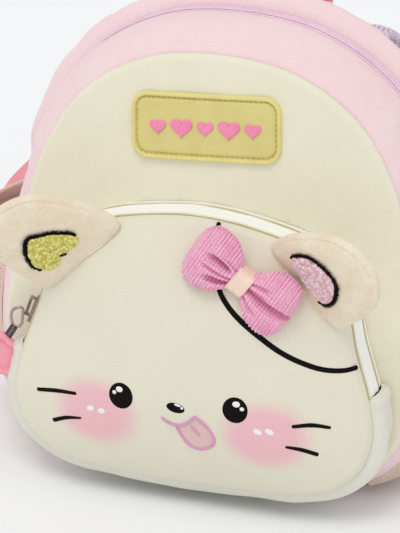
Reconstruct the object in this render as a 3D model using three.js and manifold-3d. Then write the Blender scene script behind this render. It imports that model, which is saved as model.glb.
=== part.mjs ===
// A child's animal backpack in neoprene, standing on its base.
// Millimetres. +X is to the right of someone facing the bag, +Y goes from its face to its back, +Z is up.
// The origin is on the flat underside of the base, on the bag's middle plane.

import * as THREE from "three";
import { mergeVertices } from "three/addons/utils/BufferGeometryUtils.js";
import Module from "manifold-3d";

const wasm = await Module();
wasm.setup();

// Driving sizes.
const GAP = 0.3; // between pieces that are sewn or clipped together
const CLEAR = 0.4; // between a soft piece and the rounded wall that it lies on
const NEOPRENE = 3; // laminate of the face, the gusset and the pocket
const TAPE = 1.4; // zip tape with its coil
const BODY = { front: -45, depth: 80, swell: 12, lean: 0.04 };
const PANEL = { width: 230, height: 236, lift: 6.2, dome: 7 };
const BACK = { pad: 8, crown: 4, flatShare: 0.6 };
const MAIN_ZIP = { place: 0.56, width: 11, endHeight: 112, sink: 0.8 };
const COIL = { width: 5.6, rise: 1.1, endInset: 2.5 };
const MAIN_SLIDER = { height: 172 };
const POCKET = { width: 197, height: 149, lift: 15, depth: 30, dome: 21 };
const POCKET_ZIP = { endHeight: 77, slit: 0.6, slitPlace: 0.64, swell: 1.5 };
const POCKET_STRIP = { swell: 5, overlap: 2.2 };
const EAR = { length: 53, thickness: 10, forward: 29, high: 0.96, low: 0.68, sink: 5 };
const MOTIF = { pile: 2.2, leftShift: 0.06, rightShift: -0.05 };
const BOW = { lobe: 33, width: 36, thickness: 17, side: 0.3, height: 0.845, turn: -22, lift: 6 };
const KNOT = { length: 13, width: 17, thickness: 14, roundOff: 0.25, waist: 0.1 };
const BADGE = { width: 80, height: 35, corner: 7, thickness: 1.8, rim: 0.9, x: -3.5, z: 207, turn: 4.5 };
const HEARTS = { count: 5, small: 9, large: 12, rise: 1.25, rimRise: 0.7, spacing: 12.9, points: 14 };
const SIDE_POCKET = { mesh: 1.5, bulge: 15, high: 152, dip: 34, low: 16, front: 0.1, back: 0.9, seat: 0.8 };
const BINDING = { height: 7, thickness: 2.6 };
const STRAP = { width: 44, endWidth: 34, thickness: 9 };
const WEBBING = { width: 20, thickness: 1.8 };
const ADJUSTER = { width: 26, height: 14, thickness: 5, bar: 3.2, place: 0.067, slack: 1 };
const HANDLE = { width: 25, thickness: 2.4, reach: 23, rise: 30, foot: 16 };
const SLIDER = { length: 14, width: 9, thickness: 3, bridge: 1.2, opening: 2.4, bar: 2.2, reach: 5.9 };
const PULL = { length: 26, width: 8, thickness: 1.4, eyeWidth: 4.6, eyeLength: 8.7, rim: 1.6 };
const RING = { length: 13, width: 8.5, wire: 1.5, top: 3 };
const CLIP = { length: 9.5, width: 6.4, thickness: 4, turn: 50, swing: 34 };
const CHARM = { width: 27, height: 23, thickness: 5.5, border: 1.1, lobes: 5, lobeDepth: 0.16, points: 25 };
const POCKET_SLIDER = { height: 91 };

// Half outlines, a row for each point from the top middle down to the bottom middle.
// side: share of half the width. rise: share of the height above the lowest point.
const PANEL_OUTLINE = [
  { side: 0, rise: 1 },
  { side: 0.35, rise: 0.975 },
  { side: 0.65, rise: 0.884 },
  { side: 0.833, rise: 0.741 },
  { side: 0.918, rise: 0.586 },
  { side: 0.979, rise: 0.423 },
  { side: 1, rise: 0.33 },
  { side: 0.984, rise: 0.231 },
  { side: 0.913, rise: 0.134 },
  { side: 0.776, rise: 0.057 },
  { side: 0.587, rise: 0.012 },
  { side: 0.38, rise: 0 },
  { side: 0, rise: 0 },
];
const POCKET_OUTLINE = [
  { side: 0, rise: 1 },
  { side: 0.3, rise: 0.98 },
  { side: 0.556, rise: 0.935 },
  { side: 0.7, rise: 0.876 },
  { side: 0.789, rise: 0.798 },
  { side: 0.844, rise: 0.7 },
  { side: 0.878, rise: 0.6 },
  { side: 0.98, rise: 0.382 },
  { side: 1, rise: 0.255 },
  { side: 0.941, rise: 0.137 },
  { side: 0.796, rise: 0.055 },
  { side: 0.606, rise: 0.018 },
  { side: 0.4, rise: 0.008 },
  { side: 0, rise: 0 },
];
// The ear's outline. along: share of its root, from the high corner. out: share of its length.
const EAR_OUTLINE = [
  { along: 0, out: -0.06 },
  { along: -0.03, out: 0.2 },
  { along: 0.05, out: 0.5 },
  { along: 0.18, out: 0.77 },
  { along: 0.34, out: 0.93 },
  { along: 0.53, out: 1 },
  { along: 0.69, out: 0.99 },
  { along: 0.86, out: 0.88 },
  { along: 0.98, out: 0.69 },
  { along: 1.03, out: 0.42 },
  { along: 1.02, out: 0.15 },
  { along: 0.98, out: -0.06 },
  { along: 0.5, out: -0.08 },
];
// The fleece patch in the ear, in the ear's own shares: a soft heart whose notch faces the root.
const MOTIF_OUTLINE = [
  { along: 0.56, out: 0.2 },
  { along: 0.44, out: 0.14 },
  { along: 0.34, out: 0.17 },
  { along: 0.3, out: 0.28 },
  { along: 0.37, out: 0.42 },
  { along: 0.5, out: 0.52 },
  { along: 0.62, out: 0.55 },
  { along: 0.73, out: 0.48 },
  { along: 0.81, out: 0.34 },
  { along: 0.8, out: 0.2 },
  { along: 0.71, out: 0.12 },
  { along: 0.62, out: 0.15 },
];
// Sections of a bow lobe from the knot out. away: share of its length. half: share of half its
// width. thick: share of its thickness. fold: share of the thickness that the pinch takes off the top.
const LOBE_SECTIONS = [
  { away: 0, half: 0.4, thick: 0.5, fold: 0 },
  { away: 0.12, half: 0.56, thick: 0.7, fold: 0.2 },
  { away: 0.3, half: 0.78, thick: 0.9, fold: 0.28 },
  { away: 0.5, half: 0.94, thick: 1, fold: 0.22 },
  { away: 0.7, half: 1, thick: 0.98, fold: 0.12 },
  { away: 0.87, half: 0.93, thick: 0.8, fold: 0.04 },
  { away: 0.97, half: 0.74, thick: 0.46, fold: 0 },
  { away: 1, half: 0.56, thick: 0.18, fold: 0 },
];
// Middle line of the right strap's pad. out: share of half the panel's width. back: share of the
// body's depth behind the back seam. up: share of the panel's height.
const PAD_ROUTE = [
  { out: 0.365, back: 0.22, up: 0.915 },
  { out: 0.37, back: 0.36, up: 0.935 },
  { out: 0.39, back: 0.5, up: 0.9 },
  { out: 0.5, back: 0.6, up: 0.83 },
  { out: 0.68, back: 0.56, up: 0.73 },
  { out: 0.86, back: 0.42, up: 0.61 },
];
// Middle line of its webbing, from the pad's end round to the bottom corner of the back.
const WEBBING_ROUTE = [
  { out: 1.06, back: 0.41, up: 0.553 },
  { out: 1.235, back: 0.4, up: 0.478 },
  { out: 1.36, back: 0.37, up: 0.41 },
  { out: 1.42, back: 0.3, up: 0.32 },
  { out: 1.38, back: 0.22, up: 0.21 },
  { out: 1.2, back: 0.15, up: 0.12 },
];
const STRAP_TOP = { out: 0.36, up: 0.86 };
const WEBBING_END = { out: 0.8, up: 0.1 };

const MATERIALS = {
  creamNeoprene: { color: 0xe8e5d0, roughness: 0.85 },
  pinkNeoprene: { color: 0xf6dada, roughness: 0.85 },
  satinTape: { color: 0xecf0e1, roughness: 0.5 },
  lilacTape: { color: 0xe4cde1, roughness: 0.5 },
  backFabric: { color: 0xd9cfdc, roughness: 0.9 },
  plush: { color: 0xf3decb, roughness: 1 },
  yellowFleece: { color: 0xded47d, roughness: 1 },
  pinkFleece: { color: 0xe6acbc, roughness: 1 },
  ribKnit: { color: 0xee87bc, roughness: 0.95 },
  ribbon: { color: 0xf5d6c6, roughness: 0.6 },
  softBadge: { color: 0xd9cd87, roughness: 0.45 },
  softPink: { color: 0xf58cb4, roughness: 0.45 },
  meshFabric: { color: 0xdec8b6, roughness: 0.9 },
  webbing: { color: 0xf6a0a8, roughness: 0.8 },
  plastic: { color: 0xf2a3b5, roughness: 0.4 },
  metal: { color: 0x6d6265, roughness: 0.25, metalness: 1 },
};
const material = {};
for (const [name, look] of Object.entries(MATERIALS))
  material[name] = new THREE.MeshStandardMaterial(look);

const backpack = new THREE.Group();
const halfWidth = PANEL.width / 2;
const backSeam = BODY.front + BODY.depth;
const radians = THREE.MathUtils.degToRad;

// A node of the bag, added to the group.
function addPiece(name, geometry, look) {
  const mesh = new THREE.Mesh(geometry, look);
  mesh.name = name;
  backpack.add(mesh);
}

// A solid for cutting and joining, made from any closed geometry.
function solidOf(geometry) {
  const bare = geometry.clone();
  for (const name of Object.keys(bare.attributes)) if (name !== "position") bare.deleteAttribute(name);
  const merged = mergeVertices(bare, 1e-4);
  const mesh = new wasm.Mesh({
    numProp: 3,
    vertProperties: merged.attributes.position.array,
    triVerts: new Uint32Array(merged.index.array),
  });
  return new wasm.Manifold(mesh);
}

// The geometry of a solid, as the largest of its bodies.
function geometryOf(solid) {
  const bodies = solid.decompose().sort((a, b) => b.volume() - a.volume());
  const mesh = bodies[0].getMesh();
  return new THREE.BufferGeometry()
    .setAttribute("position", new THREE.BufferAttribute(mesh.vertProperties, 3))
    .setIndex(new THREE.BufferAttribute(mesh.triVerts, 1));
}

// A closed geometry from points and triangles, turned so that its faces point out.
function closed(points, triangles) {
  const a = new THREE.Vector3();
  let volume = 0;
  for (let i = 0; i < triangles.length; i += 3) {
    const [p, q, r] = [0, 1, 2].map((k) => points[triangles[i + k]]);
    volume += a.crossVectors(p, q).dot(r);
  }
  const index = volume < 0 ? triangles.toReversed() : triangles;
  return new THREE.BufferGeometry().setFromPoints(points).setIndex(index);
}

// A closed wall between two grids of points that lie over each other, rows by columns.
// A ring's columns close on themselves.
function wallBetween(outer, inner, ring = false) {
  const rows = outer.length;
  const columns = outer[0].length;
  const points = [...outer.flat(), ...inner.flat()];
  const back = rows * columns;
  const spans = ring ? columns : columns - 1;
  const triangles = [];
  const quad = (a, b, c, d) => triangles.push(a, b, c, a, c, d);
  for (let i = 0; i < rows - 1; i++)
    for (let j = 0; j < spans; j++) {
      const k = (j + 1) % columns;
      const [a, b, c, d] = [i * columns + j, i * columns + k, (i + 1) * columns + k, (i + 1) * columns + j];
      quad(a, b, c, d);
      quad(back + d, back + c, back + b, back + a);
    }
  for (let j = 0; j < spans; j++) {
    const k = (j + 1) % columns;
    const last = (rows - 1) * columns;
    quad(back + j, back + k, k, j);
    quad(last + j, last + k, back + last + k, back + last + j);
  }
  if (!ring)
    for (let i = 0; i < rows - 1; i++) {
      const [a, b] = [i * columns, (i + 1) * columns];
      quad(a, b, back + b, back + a);
      quad(back + a + columns - 1, back + b + columns - 1, b + columns - 1, a + columns - 1);
    }
  return closed(points, triangles);
}

// A closed plate inside a loop of [x, z] points: rings of the loop are drawn in towards its
// centre by each share, and front and back give the depth at a point and its share.
function plate(loop, shares, front, back) {
  const centre = middleOf(loop);
  const points = [];
  const count = loop.length;
  for (const depth of [front, back]) {
    points.push(new THREE.Vector3(centre[0], depth(centre[0], centre[1], 0), centre[1]));
    for (const share of shares)
      for (const [px, pz] of loop) {
        const x = centre[0] + (px - centre[0]) * share;
        const z = centre[1] + (pz - centre[1]) * share;
        points.push(new THREE.Vector3(x, depth(x, z, share), z));
      }
  }
  const triangles = [];
  const face = 1 + shares.length * count;
  const at = (side, ring, j) => side * face + 1 + ring * count + (j % count);
  for (let j = 0; j < count; j++) {
    triangles.push(0, at(0, 0, j), at(0, 0, j + 1));
    triangles.push(face, at(1, 0, j + 1), at(1, 0, j));
    for (let ring = 0; ring < shares.length - 1; ring++) {
      const [a, b, c, d] = [at(0, ring, j), at(0, ring + 1, j), at(0, ring + 1, j + 1), at(0, ring, j + 1)];
      triangles.push(a, b, c, a, c, d);
      const [e, f, g, h] = [at(1, ring, j), at(1, ring + 1, j), at(1, ring + 1, j + 1), at(1, ring, j + 1)];
      triangles.push(g, f, e, h, g, e);
    }
    const edge = shares.length - 1;
    triangles.push(at(0, edge, j), at(1, edge, j), at(1, edge, j + 1));
    triangles.push(at(0, edge, j), at(1, edge, j + 1), at(0, edge, j + 1));
  }
  return closed(points, triangles);
}

function middleOf(loop) {
  const xs = loop.map((p) => p[0]);
  const zs = loop.map((p) => p[1]);
  return [(Math.min(...xs) + Math.max(...xs)) / 2, (Math.min(...zs) + Math.max(...zs)) / 2];
}

// The closed curve of a half outline and its mirror. It starts at the bottom middle and runs up
// the left side, over the top and down the right side.
function loopCurve(rows, width, height, lift) {
  const point = ({ side, rise }, sign) =>
    new THREE.Vector3((sign * side * width) / 2, 0, lift + rise * height);
  const left = rows.toReversed().map((row) => point(row, -1));
  const right = rows.slice(1, -1).map((row) => point(row, 1));
  return new THREE.CatmullRomCurve3([...left, ...right], true, "centripetal");
}

// A point of a loop, with the direction out of it.
function edgeAt(curve, along) {
  const u = ((along % 1) + 1) % 1;
  const p = curve.getPointAt(u);
  const t = curve.getTangentAt(u);
  return { x: p.x, z: p.z, outX: -t.z, outZ: t.x };
}

// The share of the way round at which the loop's left side passes a height above its widest place.
function shareAtHeight(curve, height) {
  const steps = 400;
  for (let i = Math.round(steps * 0.1); i < steps / 2; i++)
    if (curve.getPointAt(i / steps).z >= height) return i / steps;
  return 0.5;
}

// For a loop, how far out a point lies: 0 at the loop's middle and 1 on the loop itself.
function shareOut(curve, middle) {
  const steps = 720;
  const table = curve.getSpacedPoints(steps).map((p) => ({
    angle: Math.atan2(p.z - middle[1], p.x - middle[0]),
    radius: Math.hypot(p.x - middle[0], p.z - middle[1]),
  }));
  table.sort((a, b) => a.angle - b.angle);
  return (x, z) => {
    const angle = Math.atan2(z - middle[1], x - middle[0]);
    let low = 0;
    let high = table.length - 1;
    while (high - low > 1) {
      const mid = (low + high) >> 1;
      if (table[mid].angle <= angle) low = mid;
      else high = mid;
    }
    const part = (angle - table[low].angle) / (table[high].angle - table[low].angle || 1);
    const radius = THREE.MathUtils.lerp(table[low].radius, table[high].radius, part);
    return Math.hypot(x - middle[0], z - middle[1]) / radius;
  };
}

function loopPoints(curve, count, grow = 0) {
  return Array.from({ length: count }, (_, i) => {
    const e = edgeAt(curve, i / count);
    return [e.x + e.outX * grow, e.z + e.outZ * grow];
  });
}

// The main body.
const panelLoop = loopCurve(PANEL_OUTLINE, PANEL.width, PANEL.height, PANEL.lift);
const panelMiddle = [0, PANEL.lift + PANEL.height / 2];
const panelShare = shareOut(panelLoop, panelMiddle);
const seamY = (z) => BODY.front + BODY.lean * (z - panelMiddle[1]);
const arch = (share, power) => 1 - Math.min(1, share) ** power;
const panelFront = (x, z) => seamY(z) - GAP - NEOPRENE - PANEL.dome * arch(panelShare(x, z), 2.2);

// How far the gusset swells past the seams: none at either seam and all of it half way.
const gussetSwell = (across) => BODY.swell * (1 - Math.abs(2 * across - 1) ** 2.6);

// A point of the gusset. across runs from the front seam, 0, to the back seam, 1.
function gussetPoint(along, across, inset) {
  const e = edgeAt(panelLoop, along);
  const out = gussetSwell(across) - inset;
  const z = Math.max(inset, e.z + e.outZ * out);
  const y = THREE.MathUtils.lerp(seamY(e.z), backSeam, across);
  return new THREE.Vector3(e.x + e.outX * out, y, z);
}

// A wall of the gusset between two shares of the way round and two shares across.
function gussetWall(along, across, columns, rows, thickness, proud = 0) {
  const grid = (inset) =>
    Array.from({ length: rows + 1 }, (_, i) =>
      Array.from({ length: columns + 1 }, (_, j) =>
        gussetPoint(
          THREE.MathUtils.lerp(along[0], along[1], j / columns),
          THREE.MathUtils.lerp(across[0], across[1], i / rows),
          inset,
        ),
      ),
    );
  return wallBetween(grid(-proud), grid(thickness - proud));
}

const gapShare = GAP / BODY.depth;
const perimeter = panelLoop.getLength();
const mainZipStart = shareAtHeight(panelLoop, MAIN_ZIP.endHeight);
const archSpan = [mainZipStart, 1 - mainZipStart];
const zipFront = MAIN_ZIP.place - MAIN_ZIP.width / 2 / BODY.depth;
const zipBack = MAIN_ZIP.place + MAIN_ZIP.width / 2 / BODY.depth;
const baseEnd = mainZipStart - GAP / perimeter;
const mainSliderAlong = 1 - shareAtHeight(panelLoop, MAIN_SLIDER.height);

const panelRings = [0.4, 0.7, 0.88, 1];
const panelPlate = (front, back) => plate(loopPoints(panelLoop, 44), panelRings, front, back);
addPiece(
  "front_panel",
  panelPlate(panelFront, (x, z) => panelFront(x, z) + NEOPRENE),
  material.creamNeoprene,
);
// The space behind the panel's face with a gap in front of it, to seat the badge on.
const panelSpace = solidOf(panelPlate((x, z) => panelFront(x, z) - GAP, () => 0));
addPiece(
  "gusset_front_band",
  gussetWall(archSpan, [0, zipFront - gapShare], 30, 4, NEOPRENE),
  material.pinkNeoprene,
);
addPiece(
  "main_zip_tape",
  gussetWall(archSpan, [zipFront, zipBack], 34, 1, TAPE, -MAIN_ZIP.sink),
  material.lilacTape,
);
addPiece(
  "gusset_back_band",
  gussetWall(archSpan, [zipBack + gapShare, 1], 34, 3, NEOPRENE),
  material.pinkNeoprene,
);
addPiece("gusset_base", gussetWall([-baseEnd, baseEnd], [0, 1], 26, 5, NEOPRENE), material.pinkNeoprene);

const coilHalf = COIL.width / 2 / BODY.depth;
const coilTop = GAP + COIL.rise - MAIN_ZIP.sink;
const coilInset = COIL.endInset / perimeter;
addPiece(
  "main_zip_coil",
  gussetWall(
    [archSpan[0] + coilInset, mainSliderAlong - SLIDER.length / 2 / perimeter],
    [MAIN_ZIP.place - coilHalf, MAIN_ZIP.place + coilHalf],
    30,
    1,
    COIL.rise,
    coilTop,
  ),
  material.lilacTape,
);

// The padded back: flat in the middle, and drawn in at its edge.
const backDepth = backSeam + GAP + BACK.pad;
const backFace = (x, z, share) =>
  backDepth - BACK.crown * Math.max(0, (share - BACK.flatShare) / (1 - BACK.flatShare)) ** 2;
// Where a piece of a given thickness lies on the back.
const onBack = (x, z, thickness) => {
  const share = Math.min(1, panelShare(x, z));
  return new THREE.Vector3(x, backFace(x, z, share) + CLEAR + thickness / 2, z);
};
const backPlate = (front, back) => plate(loopPoints(panelLoop, 44), [BACK.flatShare, 0.85, 1], front, back);
addPiece("back_panel", backPlate(() => backSeam + GAP, backFace), material.backFabric);
const backSpace = solidOf(backPlate(() => 0, (x, z, share) => backFace(x, z, share) + GAP));
const seatedOnBack = (geometry) => geometryOf(solidOf(geometry).subtract(backSpace));

// The pocket on the front.
const pocketLoop = loopCurve(POCKET_OUTLINE, POCKET.width, POCKET.height, POCKET.lift);
const pocketMiddle = [0, POCKET.lift + POCKET.height / 2];
const pocketShare = shareOut(pocketLoop, pocketMiddle);
const pocketSeamY = (z) => seamY(z) - POCKET.depth;
const pocketFront = (x, z) =>
  pocketSeamY(z) - GAP - NEOPRENE - POCKET.dome * arch(pocketShare(x, z), 2.4);

// A point of the pocket's gusset. across runs from the face's seam, 0, back to the panel, 1.
function pocketPoint(along, across, inset, swell) {
  const e = edgeAt(pocketLoop, along);
  const out = swell * (1 - Math.abs(2 * across - 1) ** 2.6) - inset;
  const x = e.x + e.outX * out;
  const z = e.z + e.outZ * out;
  const y = THREE.MathUtils.lerp(pocketSeamY(e.z), panelFront(x, z) - GAP, across);
  return new THREE.Vector3(x, y, z);
}

function pocketWall(along, across, columns, rows, thickness, swell, proud = 0) {
  const grid = (inset) =>
    Array.from({ length: rows + 1 }, (_, i) =>
      Array.from({ length: columns + 1 }, (_, j) =>
        pocketPoint(
          THREE.MathUtils.lerp(along[0], along[1], j / columns),
          THREE.MathUtils.lerp(across[0], across[1], i / rows),
          inset,
          swell,
        ),
      ),
    );
  return wallBetween(grid(-proud), grid(thickness - proud));
}

const pocketZipStart = shareAtHeight(pocketLoop, POCKET_ZIP.endHeight);
const pocketArch = [pocketZipStart, 1 - pocketZipStart];
const pocketRings = [0.32, 0.6, 0.82, 1];
const slitHalf = POCKET_ZIP.slit / 2 / POCKET.depth;
const stripEnd = pocketZipStart - GAP / pocketLoop.getLength();
addPiece(
  "pocket_face",
  plate(
    loopPoints(pocketLoop, 44),
    pocketRings,
    pocketFront,
    (x, z) => pocketFront(x, z) + NEOPRENE,
  ),
  material.creamNeoprene,
);
addPiece(
  "pocket_zip_tape_front",
  pocketWall(pocketArch, [0, POCKET_ZIP.slitPlace - slitHalf], 30, 1, TAPE, POCKET_ZIP.swell),
  material.satinTape,
);
addPiece(
  "pocket_zip_tape_back",
  pocketWall(pocketArch, [POCKET_ZIP.slitPlace + slitHalf, 1], 30, 1, TAPE, POCKET_ZIP.swell),
  material.satinTape,
);
addPiece(
  "pocket_gusset",
  pocketWall([-stripEnd, stripEnd], [0, 1], 28, 4, NEOPRENE, POCKET_STRIP.swell, POCKET_STRIP.overlap / 2),
  material.creamNeoprene,
);

// The space of the pocket and of the main body with a clearance all round, to seat soft pieces on.
const pocketSpace = solidOf(
  plate(
    loopPoints(pocketLoop, 44, CLEAR + POCKET_STRIP.swell / 2),
    pocketRings,
    (x, z) => pocketFront(x, z) - CLEAR,
    () => 0,
  ),
);

// The ears, sewn into the pocket's seam and leaning forward over the face.
const tilt = radians(EAR.forward);
function earFrame(side) {
  const root = [EAR.high, EAR.low].map((rise) => {
    const share = shareAtHeight(pocketLoop, POCKET.lift + rise * POCKET.height);
    const e = edgeAt(pocketLoop, side < 0 ? share : 1 - share);
    return new THREE.Vector3(e.x, 0, e.z);
  });
  const along = root[1].clone().sub(root[0]);
  const length = along.length();
  along.normalize();
  const up = new THREE.Vector3(-along.z * side, 0, along.x * side);
  const out = up.clone().multiplyScalar(Math.cos(tilt)).add(new THREE.Vector3(0, -Math.sin(tilt), 0));
  const facing = new THREE.Vector3(0, -Math.cos(tilt), 0).addScaledVector(up, -Math.sin(tilt));
  // A place in the ear: shares along the root and out of it, and a height over its middle sheet.
  return (a, o, height) => {
    const p = root[0].clone().addScaledVector(along, a * length);
    const rootY = pocketFront(p.x, p.z) - EAR.thickness / 2 + EAR.sink * arch(Math.abs(2 * a - 1), 2);
    p.y = Math.min(rootY, pocketSeamY(p.z) - EAR.thickness / 2);
    return p.addScaledVector(out, o * EAR.length).addScaledVector(facing, height);
  };
}

const smoothLoop = (rows, count) => {
  const points = rows.map((row) => new THREE.Vector3(row.along, 0, row.out));
  const curve = new THREE.CatmullRomCurve3(points, true, "centripetal");
  return Array.from({ length: count }, (_, i) => curve.getPointAt(i / count)).map((p) => [p.x, p.z]);
};
const earLoop = smoothLoop(EAR_OUTLINE, 26);
const earShare = shareOut(
  new THREE.CatmullRomCurve3(
    EAR_OUTLINE.map((row) => new THREE.Vector3(row.along, 0, row.out)),
    true,
    "centripetal",
  ),
  middleOf(earLoop),
);
const pillow = (share) => 0.12 + 0.88 * Math.sqrt(arch(share, 3));

function bend(geometry, place) {
  const position = geometry.attributes.position;
  const points = [];
  for (let i = 0; i < position.count; i++)
    points.push(place(position.getX(i), position.getZ(i), -position.getY(i)));
  return closed(points, Array.from(geometry.index.array));
}

// An ear's padded shape, with a clearance all round it where one is asked for.
function earSolid(side, clearance) {
  const half = (x, z, share) => (EAR.thickness / 2) * pillow(share) + clearance;
  const grow = 1 + (2 * clearance) / EAR.length;
  const [a, o] = middleOf(earLoop);
  const loop = earLoop.map((p) => [a + (p[0] - a) * grow, o + (p[1] - o) * grow]);
  const flat = plate(loop, [0.4, 0.7, 0.9, 1], (x, z, s) => -half(x, z, s), half);
  return solidOf(bend(flat, earFrame(side)));
}

for (const [side, name] of [[-1, "left"], [1, "right"]]) {
  const place = earFrame(side);
  const ear = earSolid(side, 0).subtract(pocketSpace);
  addPiece("ear_" + name, geometryOf(ear), material.plush);
  const shift = side < 0 ? MOTIF.leftShift : MOTIF.rightShift;
  const motifLoop = smoothLoop(MOTIF_OUTLINE, 16).map(([a, o]) => [a + shift, o]);
  const over = (x, z) => -(EAR.thickness / 2) * pillow(earShare(x, z)) - CLEAR;
  const top = (x, z, s) => over(x, z) - MOTIF.pile * (s < 1 ? 1 : 0.4);
  const patch = bend(plate(motifLoop, [0.5, 0.9, 1], top, over), place);
  addPiece(
    "ear_" + name + "_inner",
    geometryOf(solidOf(patch).subtract(pocketSpace)),
    side < 0 ? material.yellowFleece : material.pinkFleece,
  );
}

// The bow: two padded lobes pinched into a ribbon knot, turned on the pocket's face.
const bowX = (BOW.side * POCKET.width) / 2;
const bowZ = POCKET.lift + BOW.height * POCKET.height;
const bowPlace = new THREE.Matrix4()
  .makeTranslation(bowX, pocketFront(bowX, bowZ) - BOW.lift, bowZ)
  .multiply(new THREE.Matrix4().makeRotationY(-radians(BOW.turn)));

function lobe(side) {
  const around = 12;
  const rings = LOBE_SECTIONS.map(({ away, half, thick, fold }) => {
    const x = side * (KNOT.length / 2 + GAP + away * BOW.lobe);
    return Array.from({ length: around }, (_, i) => {
      const angle = (i / around) * 2 * Math.PI;
      const across = Math.cos(angle);
      const deep = Math.sin(angle);
      const pinch = deep > 0 ? 1 - fold * 2 * Math.exp(-((across / 0.45) ** 2)) : 1;
      const y = -deep * pinch * thick * BOW.thickness * 0.5;
      return new THREE.Vector3(x, y, across * half * BOW.width * 0.5);
    });
  });
  return closedTube(rings);
}

// A closed solid through rings of points, with a flat cap on the first and the last.
function closedTube(rings) {
  const around = rings[0].length;
  const points = rings.flat();
  const triangles = [];
  for (let i = 0; i < rings.length - 1; i++)
    for (let j = 0; j < around; j++) {
      const k = (j + 1) % around;
      const [a, b, c, d] = [i * around + j, i * around + k, (i + 1) * around + k, (i + 1) * around + j];
      triangles.push(a, b, c, a, c, d);
    }
  const last = (rings.length - 1) * around;
  for (let j = 1; j < around - 1; j++) {
    triangles.push(0, j + 1, j);
    triangles.push(last, last + j, last + j + 1);
  }
  return closed(points, triangles);
}

for (const [side, name] of [[-1, "left"], [1, "right"]]) {
  const padded = solidOf(lobe(side).applyMatrix4(bowPlace));
  const seated = padded.subtract(pocketSpace).subtract(earSolid(side, MOTIF.pile + 2 * CLEAR));
  addPiece("bow_lobe_" + name, geometryOf(seated), material.ribKnit);
}
const knotShape = new THREE.BoxGeometry(KNOT.length, KNOT.thickness, KNOT.width, 3, 3, 3);
{
  const p = knotShape.attributes.position;
  for (let i = 0; i < p.count; i++) {
    const shareX = (2 * p.getX(i)) / KNOT.length;
    const shareZ = (2 * p.getZ(i)) / KNOT.width;
    const round = 1 - KNOT.roundOff * shareZ ** 2;
    const waist = 1 - KNOT.waist * (1 - shareX ** 2);
    p.setXYZ(i, p.getX(i), p.getY(i) * round, p.getZ(i) * waist);
  }
}
addPiece(
  "bow_knot",
  geometryOf(solidOf(knotShape.applyMatrix4(bowPlace)).subtract(pocketSpace)),
  material.ribbon,
);

// The soft badge over the pocket, moulded with a raised rim, and its raised hearts.
const turned = (points, cx, cz, degrees) =>
  points.map(([x, z]) => {
    const [c, s] = [Math.cos(radians(degrees)), Math.sin(radians(degrees))];
    return [cx + x * c - z * s, cz + x * s + z * c];
  });

function roundedRectangle(width, height, corner, perCorner = 5) {
  const points = [];
  for (let q = 0; q < 4; q++) {
    const cx = (q === 0 || q === 3 ? 1 : -1) * (width / 2 - corner);
    const cz = (q < 2 ? 1 : -1) * (height / 2 - corner);
    for (let i = 0; i <= perCorner; i++) {
      const angle = ((q + i / perCorner) * Math.PI) / 2;
      points.push([cx + corner * Math.cos(angle), cz + corner * Math.sin(angle)]);
    }
  }
  return points;
}

const badgeLoop = turned(
  roundedRectangle(BADGE.width, BADGE.height, BADGE.corner),
  BADGE.x,
  BADGE.z,
  BADGE.turn,
);
const badgeBack = (x, z) => panelFront(x, z) - GAP;
const badgeFront = (x, z, share) =>
  badgeBack(x, z) - BADGE.thickness - (share > 0.91 && share < 0.999 ? BADGE.rim : 0);
const badgeSolid = solidOf(plate(badgeLoop, [0.3, 0.6, 0.9, 0.92, 0.98, 1], badgeFront, panelFront));
addPiece("badge", geometryOf(badgeSolid.subtract(panelSpace)), material.softBadge);

// A heart's outline, one wide and one tall: two lobes over a point.
function heart(count) {
  return Array.from({ length: count }, (_, i) => {
    const t = (i / count) * 2 * Math.PI;
    const x = Math.sin(t) ** 3;
    const z = (13 * Math.cos(t) - 5 * Math.cos(2 * t) - 2 * Math.cos(3 * t) - Math.cos(4 * t)) / 17;
    return [x / 2, z / 2];
  });
}
for (let i = 0; i < HEARTS.count; i++) {
  const step = (i - (HEARTS.count - 1) / 2) * HEARTS.spacing;
  const size = i % 2 === 0 ? HEARTS.small : HEARTS.large;
  const [[cx, cz]] = turned([[step, 0]], BADGE.x, BADGE.z, BADGE.turn);
  const outline = turned(heart(HEARTS.points), 0, 0, BADGE.turn);
  const loop = outline.map(([x, z]) => [cx + x * size, cz + z * size]);
  const seat = (x, z) => badgeBack(x, z) - BADGE.thickness - GAP;
  const top = (x, z, share) => seat(x, z) - (share < 1 ? HEARTS.rise : HEARTS.rimRise);
  addPiece("badge_heart_" + (i + 1), plate(loop, [1], top, seat), material.softPink);
}

// The mesh pockets on the sides, open at the top, with a bound rim that dips between its ends.
function sidePocketPoint(side, across, rise, lift) {
  const bulge = SIDE_POCKET.bulge * Math.sin(Math.PI * across) ** 0.7 * Math.min(1, rise * 1.6) ** 0.6;
  const rim = SIDE_POCKET.high - SIDE_POCKET.dip * Math.sin(Math.PI * across);
  const z = THREE.MathUtils.lerp(SIDE_POCKET.low, rim, rise);
  const share = THREE.MathUtils.lerp(SIDE_POCKET.front, SIDE_POCKET.back, across);
  const height = Math.max(z, SIDE_POCKET.low);
  const along = sideShare(height);
  const p = gussetPoint(side < 0 ? along : 1 - along, share, -(bulge + lift));
  return p;
}
const sideTable = Array.from({ length: 201 }, (_, i) => {
  const along = 0.02 + (i / 200) * 0.46;
  return { along, height: panelLoop.getPointAt(along).z };
});
function sideShare(height) {
  const next = sideTable.findIndex((row) => row.height > height);
  const [low, high] = [sideTable[Math.max(0, next - 1)], sideTable[Math.max(1, next)]];
  const part = (height - low.height) / (high.height - low.height || 1);
  return THREE.MathUtils.lerp(low.along, high.along, THREE.MathUtils.clamp(part, 0, 1));
}

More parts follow.
